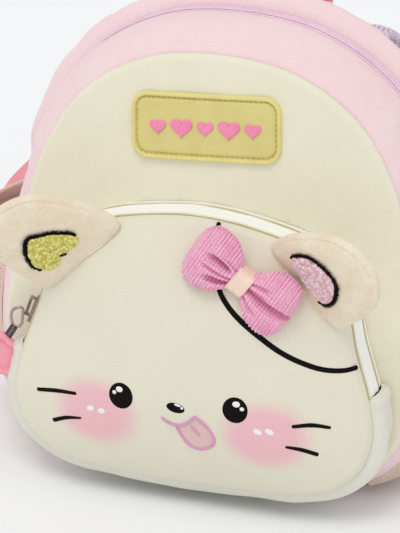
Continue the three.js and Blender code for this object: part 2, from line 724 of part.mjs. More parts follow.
function sidePocketWall(side, rises, columns, rows, thickness) {
  const grid = (lift) =>
    Array.from({ length: rows + 1 }, (_, i) =>
      Array.from({ length: columns + 1 }, (_, j) =>
        sidePocketPoint(side, j / columns, THREE.MathUtils.lerp(rises[0], rises[1], i / rows), lift),
      ),
    );
  return wallBetween(grid(SIDE_POCKET.seat + thickness), grid(SIDE_POCKET.seat));
}
const rimSpan = SIDE_POCKET.high - SIDE_POCKET.dip - SIDE_POCKET.low;
for (const [side, name] of [[-1, "left"], [1, "right"]]) {
  addPiece(
    "side_pocket_" + name,
    sidePocketWall(side, [0, 1], 10, 9, SIDE_POCKET.mesh),
    material.meshFabric,
  );
  addPiece(
    "side_binding_" + name,
    sidePocketWall(side, [1 + GAP / rimSpan, 1 + BINDING.height / rimSpan], 10, 1, BINDING.thickness),
    material.meshFabric,
  );
}

// The place and directions of a band at a share of its way: along it, across it and through it.
function bandFrame(route, share, across) {
  const curve = new THREE.CatmullRomCurve3(route, false, "centripetal");
  const p = curve.getPointAt(share);
  const t = curve.getTangentAt(share);
  const wide = across(share).clone();
  wide.addScaledVector(t, -wide.dot(t)).normalize();
  return { p, t, wide, thick: t.clone().cross(wide).normalize() };
}

// A flat band along a curve: across gives its width direction at a share of the way.
function band(route, steps, width, thickness, across, corners = 8) {
  const rings = Array.from({ length: steps + 1 }, (_, i) => {
    const share = i / steps;
    const { p, wide, thick } = bandFrame(route, share, across);
    const halfWide = width(share) / 2;
    const halfThick = thickness(share) / 2;
    return Array.from({ length: corners }, (_, k) => {
      const angle = ((k + 0.5) / corners) * 2 * Math.PI;
      const flat = Math.sign(Math.cos(angle)) * Math.min(1, Math.abs(Math.cos(angle)) * 1.082);
      const deep = Math.sign(Math.sin(angle)) * Math.min(1, Math.abs(Math.sin(angle)) * 1.6);
      return p
        .clone()
        .addScaledVector(wide, flat * halfWide)
        .addScaledVector(thick, deep * halfThick);
    });
  });
  return closedTube(rings);
}

const routePoint = (side) => ({ out, back, up }) =>
  new THREE.Vector3(
    side * out * halfWidth,
    backSeam + back * BODY.depth,
    PANEL.lift + up * PANEL.height,
  );
const constant = (value) => () => value;
// Width directions that turn smoothly from each stop to the next, evenly spaced along the way.
const turnThrough = (stops) => (share) => {
  const reach = share * (stops.length - 1);
  const i = Math.min(stops.length - 2, Math.floor(reach));
  return stops[i].clone().lerp(stops[i + 1], THREE.MathUtils.smoothstep(reach - i, 0, 1));
};

function boxSolid([x0, x1], [y0, y1], [z0, z1]) {
  const box = new THREE.BoxGeometry(x1 - x0, y1 - y0, z1 - z0);
  return solidOf(box.translate((x0 + x1) / 2, (y0 + y1) / 2, (z0 + z1) / 2));
}
const joined = (solids) => solids.reduce((all, next) => all.add(next));
const spread = (size) => [-size / 2, size / 2];

// A strap adjuster round the webbing: its end bars lie over the webbing and its middle bar under it.
function adjusterSolid() {
  const slot = WEBBING.thickness / 2 + ADJUSTER.slack;
  const inner = WEBBING.width / 2 + ADJUSTER.slack;
  const outer = ADJUSTER.width / 2;
  const [low, high] = spread(ADJUSTER.height);
  const deep = ADJUSTER.thickness / 2;
  const rail = (side) => boxSolid([low, high], side < 0 ? [-outer, -inner] : [inner, outer], [-deep, deep]);
  return joined([
    rail(-1),
    rail(1),
    boxSolid([low, low + ADJUSTER.bar], [-outer, outer], [slot, deep]),
    boxSolid([high - ADJUSTER.bar, high], [-outer, outer], [slot, deep]),
    boxSolid(spread(ADJUSTER.bar), [-outer, outer], [-deep, -slot]),
  ]);
}

// The straps: a padded upper part, and webbing through an adjuster to the bottom corner.
for (const [side, name] of [[-1, "left"], [1, "right"]]) {
  const sewn = ({ out, up }, thickness) =>
    onBack(side * out * halfWidth, PANEL.lift + up * PANEL.height, thickness);
  const padStart = sewn(STRAP_TOP, STRAP.thickness);
  const padRoute = [padStart, ...PAD_ROUTE.map(routePoint(side))];
  const padFar = padRoute.at(-1).clone();
  padFar.addScaledVector(padFar.clone().sub(padRoute.at(-2)).normalize(), GAP);
  const webbingEnd = sewn(WEBBING_END, WEBBING.thickness);
  const webbingRoute = [padRoute.at(-1), ...WEBBING_ROUTE.map(routePoint(side)), webbingEnd];
  const padWidth = (share) => THREE.MathUtils.lerp(STRAP.width, STRAP.endWidth, share);
  const padThick = (share) => STRAP.thickness * (0.55 + 0.45 * Math.min(1, 8 * Math.min(share, 1 - share)));
  const padEnd = new THREE.Vector3(0.6, 0, 0.8 * side);
  const padAcross = turnThrough([new THREE.Vector3(1, 0, 0), padEnd]);
  const pad = band(padRoute, 18, padWidth, padThick, padAcross);
  addPiece("strap_pad_" + name, seatedOnBack(pad), material.backFabric);
  const edgeUp = new THREE.Vector3(0, 0, side);
  const flatUp = new THREE.Vector3(0, -1, 0.6 * side);
  const webbingAcross = turnThrough([padEnd, flatUp, edgeUp, edgeUp]);
  const { width, thickness } = WEBBING;
  const webbing = band(webbingRoute, 26, constant(width), constant(thickness), webbingAcross, 4);
  const padSpace = band(
    [...padRoute.slice(0, -1), padFar],
    18,
    (share) => padWidth(share) + 2 * GAP,
    (share) => padThick(share) + 2 * GAP,
    padAcross,
  );
  const sewnWebbing = solidOf(webbing).subtract(backSpace).subtract(solidOf(padSpace));
  addPiece("strap_webbing_" + name, geometryOf(sewnWebbing), material.webbing);
  const { p, t, wide, thick } = bandFrame(webbingRoute, ADJUSTER.place, webbingAcross);
  const place = new THREE.Matrix4().makeBasis(t, wide, thick).setPosition(p);
  addPiece("strap_adjuster_" + name, geometryOf(adjusterSolid()).applyMatrix4(place), material.plastic);
}

// The carrying handle: webbing whose feet are sewn flat on the back and whose middle turns flat.
const handleTop = PANEL.lift + PANEL.height;
const handleSeat = onBack(HANDLE.reach, handleTop - HANDLE.foot, HANDLE.thickness).y;
const handleRoute = [
  { reach: -1, rise: -HANDLE.foot },
  { reach: -1, rise: 0 },
  { reach: -0.94, rise: HANDLE.rise * 0.5 },
  { reach: -0.5, rise: HANDLE.rise * 0.94 },
  { reach: 0, rise: HANDLE.rise },
  { reach: 0.5, rise: HANDLE.rise * 0.94 },
  { reach: 0.94, rise: HANDLE.rise * 0.5 },
  { reach: 1, rise: 0 },
  { reach: 1, rise: -HANDLE.foot },
].map(({ reach, rise }) => new THREE.Vector3(reach * HANDLE.reach, handleSeat, handleTop + rise));
const handleAcross = (share) => {
  const middle = THREE.MathUtils.smoothstep(0.5 - Math.abs(share - 0.5), 0.16, 0.36);
  return new THREE.Vector3(1 - middle, middle, 0);
};
const handleBand = band(
  handleRoute,
  34,
  constant(HANDLE.width),
  constant(HANDLE.thickness),
  handleAcross,
  4,
);
addPiece("handle", seatedOnBack(handleBand), material.webbing);

// A zip slider on its own axes: x along the zip, y across it, z out of the bag. A bridge on top
// holds what pulls it.
function sliderSolid() {
  const { length, width, thickness, bridge, opening, bar, reach } = SLIDER;
  const top = thickness + opening;
  return joined([
    boxSolid(spread(length), spread(width), [0, thickness]),
    boxSolid([-reach, -reach + bridge], spread(bar), [thickness - GAP, top]),
    boxSolid([reach - bridge, reach], spread(bar), [thickness - GAP, top]),
    boxSolid([-reach, reach], spread(bar), [top - GAP, top + bridge]),
  ]);
}
const threadHeight = SLIDER.thickness + SLIDER.opening / 2;

// A flat metal pull whose eye goes round the slider's bridge.
function pullSolid() {
  const { length, width, thickness, eyeWidth, eyeLength, rim } = PULL;
  const top = SLIDER.reach - SLIDER.bridge - CLEAR;
  const level = [threadHeight - thickness / 2, threadHeight + thickness / 2];
  const tab = boxSolid([top - length, top], spread(width), level);
  const window = boxSolid([top - rim - eyeLength, top - rim], spread(eyeWidth), [0, 2 * threadHeight]);
  return tab.subtract(window);
}

// Axes for a slider at a point of a gusset: up the zip, across it, and out.
function zipFrame(curve, along, point) {
  const e = edgeAt(curve, along);
  const up = new THREE.Vector3(e.outZ, 0, -e.outX).multiplyScalar(along < 0.5 ? 1 : -1);
  const out = new THREE.Vector3(e.outX, 0, e.outZ);
  return new THREE.Matrix4().makeBasis(up, out.clone().cross(up), out).setPosition(point);
}

const mainSliderPlace = zipFrame(
  panelLoop,
  mainSliderAlong,
  gussetPoint(mainSliderAlong, MAIN_ZIP.place, MAIN_ZIP.sink - CLEAR),
);
addPiece("main_zip_slider", geometryOf(sliderSolid()).applyMatrix4(mainSliderPlace), material.metal);
addPiece("main_zip_pull", geometryOf(pullSolid()).applyMatrix4(mainSliderPlace), material.metal);

// The pocket's slider, with a wire ring, a folded clip and a soft charm hanging from it.
const pocketSliderAlong = shareAtHeight(pocketLoop, POCKET_SLIDER.height);
const pocketSliderPlace = zipFrame(
  pocketLoop,
  pocketSliderAlong,
  pocketPoint(pocketSliderAlong, POCKET_ZIP.slitPlace, -CLEAR, POCKET_ZIP.swell),
);
addPiece("pocket_slider", geometryOf(sliderSolid()).applyMatrix4(pocketSliderPlace), material.metal);

const ringMiddle = RING.top - RING.length / 2;
const ringShape = (wire) =>
  new THREE.TorusGeometry(1, wire / RING.width, 6, 18)
    .scale(RING.length / 2, RING.width / 2, RING.width / 2)
    .translate(ringMiddle, 0, threadHeight);
addPiece("pocket_pull_ring", ringShape(RING.wire).applyMatrix4(pocketSliderPlace), material.metal);

const clipTop = RING.top - RING.length + RING.wire * 1.4;
const hangPlace = pocketSliderPlace
  .clone()
  .multiply(new THREE.Matrix4().makeTranslation(clipTop, 0, threadHeight))
  .multiply(new THREE.Matrix4().makeRotationY(radians(CLIP.swing)))
  .multiply(new THREE.Matrix4().makeRotationX(radians(CLIP.turn)));
const ringSpace = solidOf(
  ringShape(RING.wire + 2 * CLEAR).applyMatrix4(pocketSliderPlace).applyMatrix4(hangPlace.clone().invert()),
);
const charmTab = CLIP.length * 0.45;
const charmTop = -CLIP.length + charmTab;
const tabSolid = (grow) =>
  boxSolid(
    [charmTop - charmTab * 1.6, charmTop + grow],
    spread(CLIP.width * 0.62 + 2 * grow),
    spread(CLIP.thickness * 0.4 + 2 * grow),
  );
const clipSolid = boxSolid([-CLIP.length, 0], spread(CLIP.width), spread(CLIP.thickness));
addPiece(
  "pocket_pull_clip",
  geometryOf(clipSolid.subtract(ringSpace).subtract(tabSolid(CLEAR))).applyMatrix4(hangPlace),
  material.metal,
);

// The charm: a soft flower of five lobes with a raised border.
const charmLoop = Array.from({ length: CHARM.points }, (_, i) => {
  const angle = (i / CHARM.points) * 2 * Math.PI;
  const radius = 0.5 * (1 - CHARM.lobeDepth * (1 - Math.abs(Math.cos((CHARM.lobes * angle) / 2))));
  return [radius * CHARM.height * Math.cos(angle), radius * CHARM.width * Math.sin(angle)];
});
const charmHalf = (share) =>
  CHARM.thickness / 2 - (share < 0.8 ? CHARM.border : 0) - (share > 0.95 ? CHARM.border * 0.8 : 0);
const charmPlate = plate(
  charmLoop,
  [0.78, 0.86, 1],
  (x, z, share) => -charmHalf(share),
  (x, z, share) => charmHalf(share),
)
  .rotateX(Math.PI / 2)
  .translate(-CLIP.length - GAP - CHARM.height / 2, 0, 0);
addPiece(
  "pocket_pull_charm",
  geometryOf(solidOf(charmPlate).add(tabSolid(0))).applyMatrix4(hangPlace),
  material.softPink,
);

export default backpack;
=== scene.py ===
# %% [markdown]
# # A child's animal backpack, dressed in Blender
#
# The bag is a neoprene shell: a cream front panel, a pink gusset with a lilac zip, a padded
# back, and a front pocket that carries an animal's face, two plush ears and a bow.
# Its solids are loaded first, and every soft one is then replaced by a finer surface that is
# worked out with numpy from the same sizes. Lengths are in millimetres until the last step.

import bpy
import numpy as np
from mathutils import Matrix


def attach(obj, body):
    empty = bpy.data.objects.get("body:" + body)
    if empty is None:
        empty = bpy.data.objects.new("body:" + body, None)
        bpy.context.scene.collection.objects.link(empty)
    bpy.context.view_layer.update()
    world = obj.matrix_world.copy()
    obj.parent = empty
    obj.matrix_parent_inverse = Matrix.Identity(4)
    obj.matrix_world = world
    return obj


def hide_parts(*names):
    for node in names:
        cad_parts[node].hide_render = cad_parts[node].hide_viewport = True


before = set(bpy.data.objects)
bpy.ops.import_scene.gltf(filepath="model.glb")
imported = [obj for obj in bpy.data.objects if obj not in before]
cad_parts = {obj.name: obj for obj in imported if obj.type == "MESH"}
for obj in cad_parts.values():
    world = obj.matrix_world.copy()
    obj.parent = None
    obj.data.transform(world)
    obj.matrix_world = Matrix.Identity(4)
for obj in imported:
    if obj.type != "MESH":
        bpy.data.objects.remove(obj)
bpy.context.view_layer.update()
print("solids:", len(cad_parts))

# %% [markdown]
# ## The camera
#
# A long lens a little to the right of the bag's middle and above it looks slightly down, so
# that the base spreads towards us. Its three directions are written out as columns: to the
# right, up, and back out of the picture.

# %% Camera
CAMERA_PLACE, CAMERA_ANGLES, CAMERA_LENS = (0.5163, -1.8186, 0.8927), (16.46, 22.567, 1.837), 255.3
turn, tip, roll = np.radians(CAMERA_ANGLES)
back = np.array([np.sin(turn) * np.cos(tip), -np.cos(turn) * np.cos(tip), np.sin(tip)])
level = np.array([np.cos(turn), np.sin(turn), 0])
upward = np.cross(back, level)
right = np.cos(roll) * level + np.sin(roll) * upward
up = -np.sin(roll) * level + np.cos(roll) * upward
camera = bpy.data.objects.new("camera", bpy.data.cameras.new("camera"))
bpy.context.scene.collection.objects.link(camera)
camera.data.lens = CAMERA_LENS
camera.data.clip_end = 50
pose = np.eye(4)
pose[:3, 0], pose[:3, 1], pose[:3, 2] = right, up, back
pose[:3, 3] = CAMERA_PLACE
camera.matrix_world = Matrix(pose.tolist())
bpy.context.scene.camera = camera
print("camera at", pose[:3, 3])

# %% [markdown]
# ## Curves
#
# Every outline of the bag is a smooth closed curve through a few points. The curve is sampled
# finely once, and a place on it is then looked up by its share of the whole length. A Bezier
# curve object would draw the same line, but the surfaces below need to look up any place on it.

# %% Smooth curves


class Path:
    """A smooth curve through points, looked up by share of its length.

    Between two points it is a cubic whose slopes come from the neighbours, weighted by the
    square root of the distances, so that it doesn't overshoot where points lie close.
    """

    def __init__(self, points, closed=False):
        p = np.asarray(points, float)
        if closed:
            around = np.arange(len(p))
            p0, p1, p2, p3 = (p[(around + k) % len(p)] for k in (-1, 0, 1, 2))
        else:
            longer = np.vstack([2 * p[0] - p[1], p, 2 * p[-1] - p[-2]])
            p0, p1, p2, p3 = longer[:-3], longer[1:-2], longer[2:-1], longer[3:]
        pairs = ((p0, p1), (p1, p2), (p2, p3))
        reach = [np.linalg.norm(b - a, axis=1, keepdims=True) ** 0.5 for a, b in pairs]
        d0, d1, d2 = [np.maximum(d, 1e-6) for d in reach]
        slope1 = ((p1 - p0) / d0 - (p2 - p0) / (d0 + d1) + (p2 - p1) / d1) * d1
        slope2 = ((p2 - p1) / d1 - (p3 - p1) / (d1 + d2) + (p3 - p2) / d2) * d1
        s = np.linspace(0, 1, 48, endpoint=False)[None, :, None]
        dense = (
            (2 * s**3 - 3 * s**2 + 1) * p1[:, None]
            + (s**3 - 2 * s**2 + s) * slope1[:, None]
            + (-2 * s**3 + 3 * s**2) * p2[:, None]
            + (s**3 - s**2) * slope2[:, None]
        ).reshape(-1, p.shape[1])
        self.points = np.vstack([dense, p[0] if closed else p[-1]])
        steps = np.linalg.norm(np.diff(self.points, axis=0), axis=1)
        self.along = np.concatenate([[0], np.cumsum(steps)])
        self.length = self.along[-1]
        self.closed = closed

    def at(self, share):
        """The place at a share of the length, between the two nearest samples."""
        share = np.asarray(share, float)
        share = share % 1 if self.closed else np.clip(share, 0, 1)
        return np.stack([np.interp(share * self.length, self.along, c) for c in self.points.T], -1)

    def heading(self, share):
        """The direction of the curve: from just before a place to just after it, at length 1."""
        share = np.asarray(share, float)
        step = 1.5e-3
        ahead = self.at(share + step) - self.at(share - step)
        return ahead / np.linalg.norm(ahead, axis=-1, keepdims=True)


def outline(rows, width, height, lift):
    """A half outline and its mirror: bottom middle, up the left side, over the top, down the right."""
    rows = np.array(rows)
    half = np.stack([rows[:, 0] * width / 2, lift + rows[:, 1] * height], -1)
    left = half[::-1] * [-1, 1]
    return Path(np.vstack([left, half[1:-1]]), closed=True)


def rows_down(path, height):
    """The share of the way round at which the left side passes a height."""
    share = np.linspace(0.1, 0.5, 2000)
    return share[np.argmax(path.at(share)[:, 1] >= height)]


def outness(path, middle):
    """How far out a point lies, 0 in the middle and 1 on the outline, by its angle."""
    ring = path.points[:-1] - middle
    angle = np.arctan2(ring[:, 1], ring[:, 0])
    order = np.argsort(angle)
    angle, radius = angle[order], np.hypot(*ring[order].T)

    def share(x, z):
        """The distance from the middle over the outline's distance in that direction."""
        x, z = x - middle[0], z - middle[1]
        return np.hypot(x, z) / np.interp(np.arctan2(z, x), angle, radius, period=2 * np.pi)

    return share


def arch(share, power):
    """1 in the middle, falling by a power of the share to 0 at the rim."""
    return 1 - np.minimum(1, share) ** power


def mix(a, b, t):
    """A straight blend: a at 0 and b at 1."""
    return a + (b - a) * t


def ease(low, high, x):
    """0 below low, 1 above high, and a soft S between."""
    t = np.clip((x - low) / (high - low), 0, 1)
    return t * t * (3 - 2 * t)


def waves(seed, *places, scale=30.0, count=7):
    """A smooth irregular field between about -1 and 1: a few sine waves in random directions."""
    dice = np.random.default_rng(seed)
    total = 0
    for _ in range(count):
        pull = dice.normal(size=len(places)) * 2 * np.pi / scale
        total = total + np.sin(sum(k * p for k, p in zip(pull, places)) + dice.uniform(0, 2 * np.pi))
    return total / count**0.5


# %% [markdown]
# ## From grids to meshes
#
# A sheet of cloth is two grids of points, its outside and its inside. They are joined at the
# edges into a closed shell. A disc does the same with rings round a middle point. The place
# on the sheet, measured in millimetres along both grid directions, becomes its UV map, so a
# weave can follow the cloth. A Solidify modifier could give the wall as well, but here the
# inside can stay smooth under a ribbed outside.

# %% Shells and discs
SHARP_EDGE = 55


def quads(rows, columns, wrap, start=0):
    """The faces of a grid of points, each by its four corners, closed round if it wraps."""
    i, j = np.meshgrid(np.arange(rows - 1), np.arange(columns if wrap else columns - 1), indexing="ij")
    k = (j + 1) % columns
    corners = np.stack([i * columns + j, i * columns + k, (i + 1) * columns + k, (i + 1) * columns + j], -1)
    return corners.reshape(-1, 4) + start


def spans(grid, wrap):
    """Millimetres along the columns and down the rows of a grid."""
    middle = grid[len(grid) // 2]
    line = np.vstack([middle, middle[:1]]) if wrap else middle
    u = np.concatenate([[0], np.cumsum(np.linalg.norm(np.diff(line, axis=0), axis=1))])
    post = grid[:, grid.shape[1] // 3]
    v = np.concatenate([[0], np.cumsum(np.linalg.norm(np.diff(post, axis=0), axis=1))])
    return u, v


def grid_uv(u, v):
    """The UV corners of a grid's faces, in the order of their points in quads."""
    i, j = np.meshgrid(np.arange(len(v) - 1), np.arange(len(u) - 1), indexing="ij")
    corners = [(u[j], v[i]), (u[j + 1], v[i]), (u[j + 1], v[i + 1]), (u[j], v[i + 1])]
    return np.stack([np.stack(corner, -1) for corner in corners], -2).reshape(-1, 4, 2)


def build(name, points, faces, uv, finish, nodes, slot=None):
    """A mesh object from points in millimetres, faces, and a UV pair for each face corner."""
    points = np.asarray(points)
    counts = np.array([len(f) for f in faces])
    flat = np.concatenate(faces)
    starts = np.concatenate([[0], np.cumsum(counts)[:-1]])
    a, b, c = points[flat[starts]], points[flat[starts + 1]], points[flat[starts + 2]]
    last = points[flat[starts + counts - 1]]
    volume = np.sum(np.cross(a, b) * c) + np.sum(np.cross(a, c) * last)
    if volume < 0:
        faces = [f[::-1] for f in faces]
        uv = [w[::-1] for w in uv]
    mesh = bpy.data.meshes.new(name)
    mesh.from_pydata((points * 0.001).tolist(), [], [list(map(int, f)) for f in faces])
    layer = mesh.uv_layers.new(name="cloth")
    layer.data.foreach_set("uv", np.concatenate([np.asarray(w) for w in uv]).astype(np.float32).ravel())
    mesh.polygons.foreach_set("use_smooth", np.ones(len(faces), bool))
    mesh.set_sharp_from_angle(angle=np.radians(SHARP_EDGE))
    mesh.materials.append(finish)
    thing = bpy.data.objects.new(name, mesh)
    bpy.context.scene.collection.objects.link(thing)
    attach(thing, "root")
    if nodes:
        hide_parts(*nodes)
    print(f"{name}: {len(points)} points, {len(faces)} faces")
    return thing


def shell(name, outer, inner, finish, nodes, **more):
    """A closed wall between an outer and an inner grid of points, rows by columns."""
    rows, columns = outer.shape[:2]
    size = rows * columns
    points = np.vstack([outer.reshape(-1, 3), inner.reshape(-1, 3)])
    front = quads(rows, columns, False)
    behind = quads(rows, columns, False, size)[:, ::-1]
    along = np.arange(columns - 1)
    end = (rows - 1) * columns
    down = np.arange(rows - 1) * columns
    far = down + columns - 1
    rims = np.vstack([
        np.stack([size + along, size + along + 1, along + 1, along], -1),
        np.stack([end + along, end + along + 1, size + end + along + 1, size + end + along], -1),
        np.stack([down, down + columns, size + down + columns, size + down], -1),
        np.stack([size + far, size + far + columns, far + columns, far], -1),
    ])
    front_uv = grid_uv(*spans(outer, False))
    faces = np.vstack([front, behind, rims])
    uv = np.vstack([front_uv, front_uv[:, ::-1], np.zeros((len(rims), 4, 2))])
    return build(name, points, list(faces), list(uv), finish, nodes, **more)


def plate(front, behind):
    """The points and faces of a closed plate: two sets of rings about a middle, and the rim between."""
    rows, columns = front.shape[:2]
    half = 1 + rows * columns
    points = np.vstack([
        front[0].mean(0)[None], front.reshape(-1, 3), behind[0].mean(0)[None], behind.reshape(-1, 3)
    ])
    ring = np.arange(columns)
    following = (ring + 1) % columns
    end = 1 + (rows - 1) * columns
    caps = np.vstack([
        np.stack([np.zeros(columns, int), 1 + ring, 1 + following], -1),
        np.stack([np.full(columns, half), half + 1 + following, half + 1 + ring], -1),
    ])
    sides = np.vstack([
        quads(rows, columns, True, 1)[:, ::-1],
        quads(rows, columns, True, half + 1),
        np.stack([end + ring, half + end + ring, half + end + following, end + following], -1),
    ])
    return points, caps, sides


def disc(name, front, behind, finish, nodes, **more):
    """A closed plate from two sets of rings about a middle, innermost ring first, rim last."""
    points, caps, sides = plate(front, behind)
    plan = (points - points[0])[:, [0, 2]]
    faces = list(caps) + list(sides)
    return build(name, points, faces, [plan[f] for f in faces], finish, nodes, **more)


def rings_of(path, count, shares, middle):
    """Rings of an outline drawn in towards its middle, as x and z grids."""
    edge = path.at(np.arange(count) / count)
    grid = middle + (edge[None] - middle) * np.asarray(shares)[:, None, None]
    return grid[..., 0], grid[..., 1]


def stack(x, y, z):
    """Points from their three coordinates, which may be arrays of any fitting shapes."""
    x, y, z = np.broadcast_arrays(x, y, z)
    return np.stack([x, y, z], -1)


def edge_shares(count, tight=1.6):
    """Ring shares from near 0 to 1 that lie closer together towards the rim."""
    t = np.linspace(0, 1, count + 1)[1:]
    return 1 - (1 - t) ** tight


def skin(rings):
    """The points and faces of a closed skin through rings, with a fan over each end ring."""
    rows, columns = rings.shape[:2]
    points = np.vstack([rings.reshape(-1, 3), rings[0].mean(0)[None], rings[-1].mean(0)[None]])
    ring = np.arange(columns)
    following = (ring + 1) % columns
    end = (rows - 1) * columns
    first = np.stack([np.full(columns, rows * columns), following, ring], -1)
    last = np.stack([np.full(columns, rows * columns + 1), end + ring, end + following], -1)
    return points, quads(rows, columns, True), np.vstack([first, last])


def tube(name, rings, finish, nodes, **more):
    """A mesh of the closed skin through rings of points."""
    points, sides, caps = skin(rings)
    uv = list(grid_uv(*spans(rings, True))) + list(np.zeros((len(caps), 3, 2)))
    return build(name, points, list(sides) + list(caps), uv, finish, nodes, **more)


# %% [markdown]
# ## Finishes
#
# Each cloth has its own small recipe of shader nodes. Colours are given as the eye reads them,
# from 0 to 255, and turned into light. A finish reads either the object's own coordinates, in
# metres, or the millimetres along the cloth that the UV map holds.

# %% A small kit for shader nodes


def light(red, green, blue):
    """The linear colour of an everyday 0-255 colour."""
    c = np.array([red, green, blue]) / 255
    c = np.where(c <= 0.04045, c / 12.92, ((c + 0.055) / 1.055) ** 2.4)
    return (*c.tolist(), 1.0)


class Finish:
    """A material being mixed: each method adds one node and gives its output."""

    def __init__(self, name, roughness=0.8, **sockets):
        self.material = bpy.data.materials.new(name)
        self.material.use_nodes = True
        self.tree = self.material.node_tree
        self.surface = self.tree.nodes["Principled BSDF"]
        self.surface.inputs["Roughness"].default_value = roughness
        for key, value in sockets.items():
            self.surface.inputs[key.replace("_", " ")].default_value = value

    def add(self, kind, inputs=None, out=0, **settings):
        """A node with its settings and its inputs, each a value or another node's output."""
        node = self.tree.nodes.new("ShaderNode" + kind)
        for key, value in settings.items():
            setattr(node, key, value)
        for key, value in (inputs or {}).items():
            if isinstance(value, bpy.types.NodeSocket):
                self.tree.links.new(value, node.inputs[key])
            else:
                node.inputs[key].default_value = value
        return node.outputs[out]

    def math(self, operation, a, b=0.0):
        """One sum, product or function of two values."""
        return self.add("Math", {0: a, 1: b}, operation=operation)

    def place(self):
        """Object coordinates in millimetres."""
        metres = self.add("TexCoord", out="Object")
        return self.add("VectorMath", {0: metres, "Scale": 1000.0}, operation="SCALE")

    def cloth(self):
        """Millimetres along and down the cloth, from the UV map."""
        return self.add("UVMap", uv_map="cloth")

    def parts(self, vector):
        """The three coordinates of a place."""
        node = self.tree.nodes.new("ShaderNodeSeparateXYZ")
        self.tree.links.new(vector, node.inputs[0])
        return node.outputs

    def noise(self, vector, size, detail=2.0, roughness=0.5):
        """Soft cloudy noise whose clouds are about a size apart."""
        inputs = {"Vector": vector, "Scale": 1 / size, "Detail": detail, "Roughness": roughness}
        return self.add("TexNoise", inputs)

    def stripes(self, value, pitch, power=1.0):
        """A wave from 0 to 1 that repeats with a pitch."""
        wave = self.math("SINE", self.math("MULTIPLY", value, 2 * np.pi / pitch))
        wave = self.math("ADD", self.math("MULTIPLY", wave, 0.5), 0.5)
        return self.math("POWER", wave, power) if power != 1 else wave

    def ramp(self, value, low, high, start=0.0, end=1.0):
        """A soft S from start to end while the value goes from low to high."""
        inputs = {"Value": value, "From Min": low, "From Max": high, "To Min": start, "To Max": end}
        return self.add("MapRange", inputs, interpolation_type="SMOOTHSTEP")

    def blend(self, factor, first, second, how="MIX"):
        """The first colour at factor 0 and the second at 1, or their product and the like."""
        node = self.tree.nodes.new("ShaderNodeMix")
        node.data_type = "RGBA"
        node.blend_type = how
        for socket, value in zip((node.inputs[0], node.inputs[6], node.inputs[7]), (factor, first, second)):
            if isinstance(value, bpy.types.NodeSocket):
                self.tree.links.new(value, socket)
            else:
                socket.default_value = value
        return node.outputs[2]

    def finish(self, colour, height=None, depth=0.3):
        """Ties the colour in, and a height in millimetres of depth as a bump."""
        if isinstance(colour, bpy.types.NodeSocket):
            self.tree.links.new(colour, self.surface.inputs["Base Color"])
        else:
            self.surface.inputs["Base Color"].default_value = colour
        if height is not None:
            bump = self.add("Bump", {"Height": height, "Distance": depth * 0.001, "Strength": 1.0})
            self.tree.links.new(bump, self.surface.inputs["Normal"])
        return self.material


# %% [markdown]
# Neoprene is a thin foam between two layers of fine knit. Up close it shows rows of tiny
# stitches, from further away only a soft, slightly cloudy mat surface. So the recipe has rows
# of stitches 0.8 mm apart, bent by a little noise, and a cloudy colour. A scanned weave would
# repeat visibly on so large a panel.

# %% Neoprene


def knit(kit, line, cloudy, pitch=0.8):
    """Rows of small stitches across a line coordinate, broken up by fine noise."""
    wander = kit.math("MULTIPLY", kit.noise(cloudy, 9.0), 2.4)
    rows = kit.stripes(kit.math("ADD", line, wander), pitch)
    grain = kit.noise(cloudy, 0.7, 1.0)
    return kit.math("ADD", kit.math("MULTIPLY", rows, 0.35), kit.math("MULTIPLY", grain, 0.8))


def neoprene(name, colour, deep, along_cloth=False, lean=0.12):
    """Stitch rows shade a cloudy blend of two colours, across the object or along the cloth."""
    kit = Finish(name, 0.82, Sheen_Weight=0.12, Sheen_Roughness=0.5, Specular_IOR_Level=0.25)
    place = kit.place()
    if along_cloth:
        line = kit.parts(kit.cloth())[0]
    else:
        x, _, z = kit.parts(place)[:3]
        line = kit.math("ADD", x, kit.math("MULTIPLY", z, lean))
    stitches = knit(kit, line, place)
    cloud = kit.ramp(kit.noise(place, 34.0, 3.0), 0.3, 0.75)
    colour = kit.blend(kit.math("MULTIPLY", cloud, 0.35), light(*colour), light(*deep))
    shade = kit.ramp(stitches, 0.25, 0.9, 0.935, 1.03)
    colour = kit.blend(1.0, colour, kit.add("CombineColor", {0: shade, 1: shade, 2: shade}), "MULTIPLY")
    return kit, colour, stitches


kit, colour, stitches = neoprene("cream_neoprene", (240, 236, 214), (235, 230, 203))
cream = kit.finish(colour, stitches, 0.16)
# The pocket's strip is the same cream foam; its colour is a greyer, darker copy, as painted shade.
kit, colour, stitches = neoprene("painted_shade_strip_neoprene", (233, 231, 219), (227, 225, 209), along_cloth=True)
painted_shade_strip_cream = kit.finish(colour, stitches, 0.16)
kit, colour, stitches = neoprene("pink_neoprene", (250, 223, 225), (248, 212, 215), along_cloth=True)
pink = kit.finish(colour, stitches, 0.2)


def oval(kit, x, z, middle, radii, tilt, soft):
    """1 inside a tilted oval and 0 outside, with a soft edge as a share of its radius."""
    c, s = np.cos(np.radians(tilt)), np.sin(np.radians(tilt))
    dx, dz = kit.math("SUBTRACT", x, middle[0]), kit.math("SUBTRACT", z, middle[1])
    p = kit.math("ADD", kit.math("MULTIPLY", dx, c / radii[0]), kit.math("MULTIPLY", dz, s / radii[0]))
    q = kit.math("ADD", kit.math("MULTIPLY", dx, -s / radii[1]), kit.math("MULTIPLY", dz, c / radii[1]))
    away = kit.math("SQRT", kit.math("ADD", kit.math("MULTIPLY", p, p), kit.math("MULTIPLY", q, q)))
    return kit.ramp(away, 1 + soft, 1 - soft)
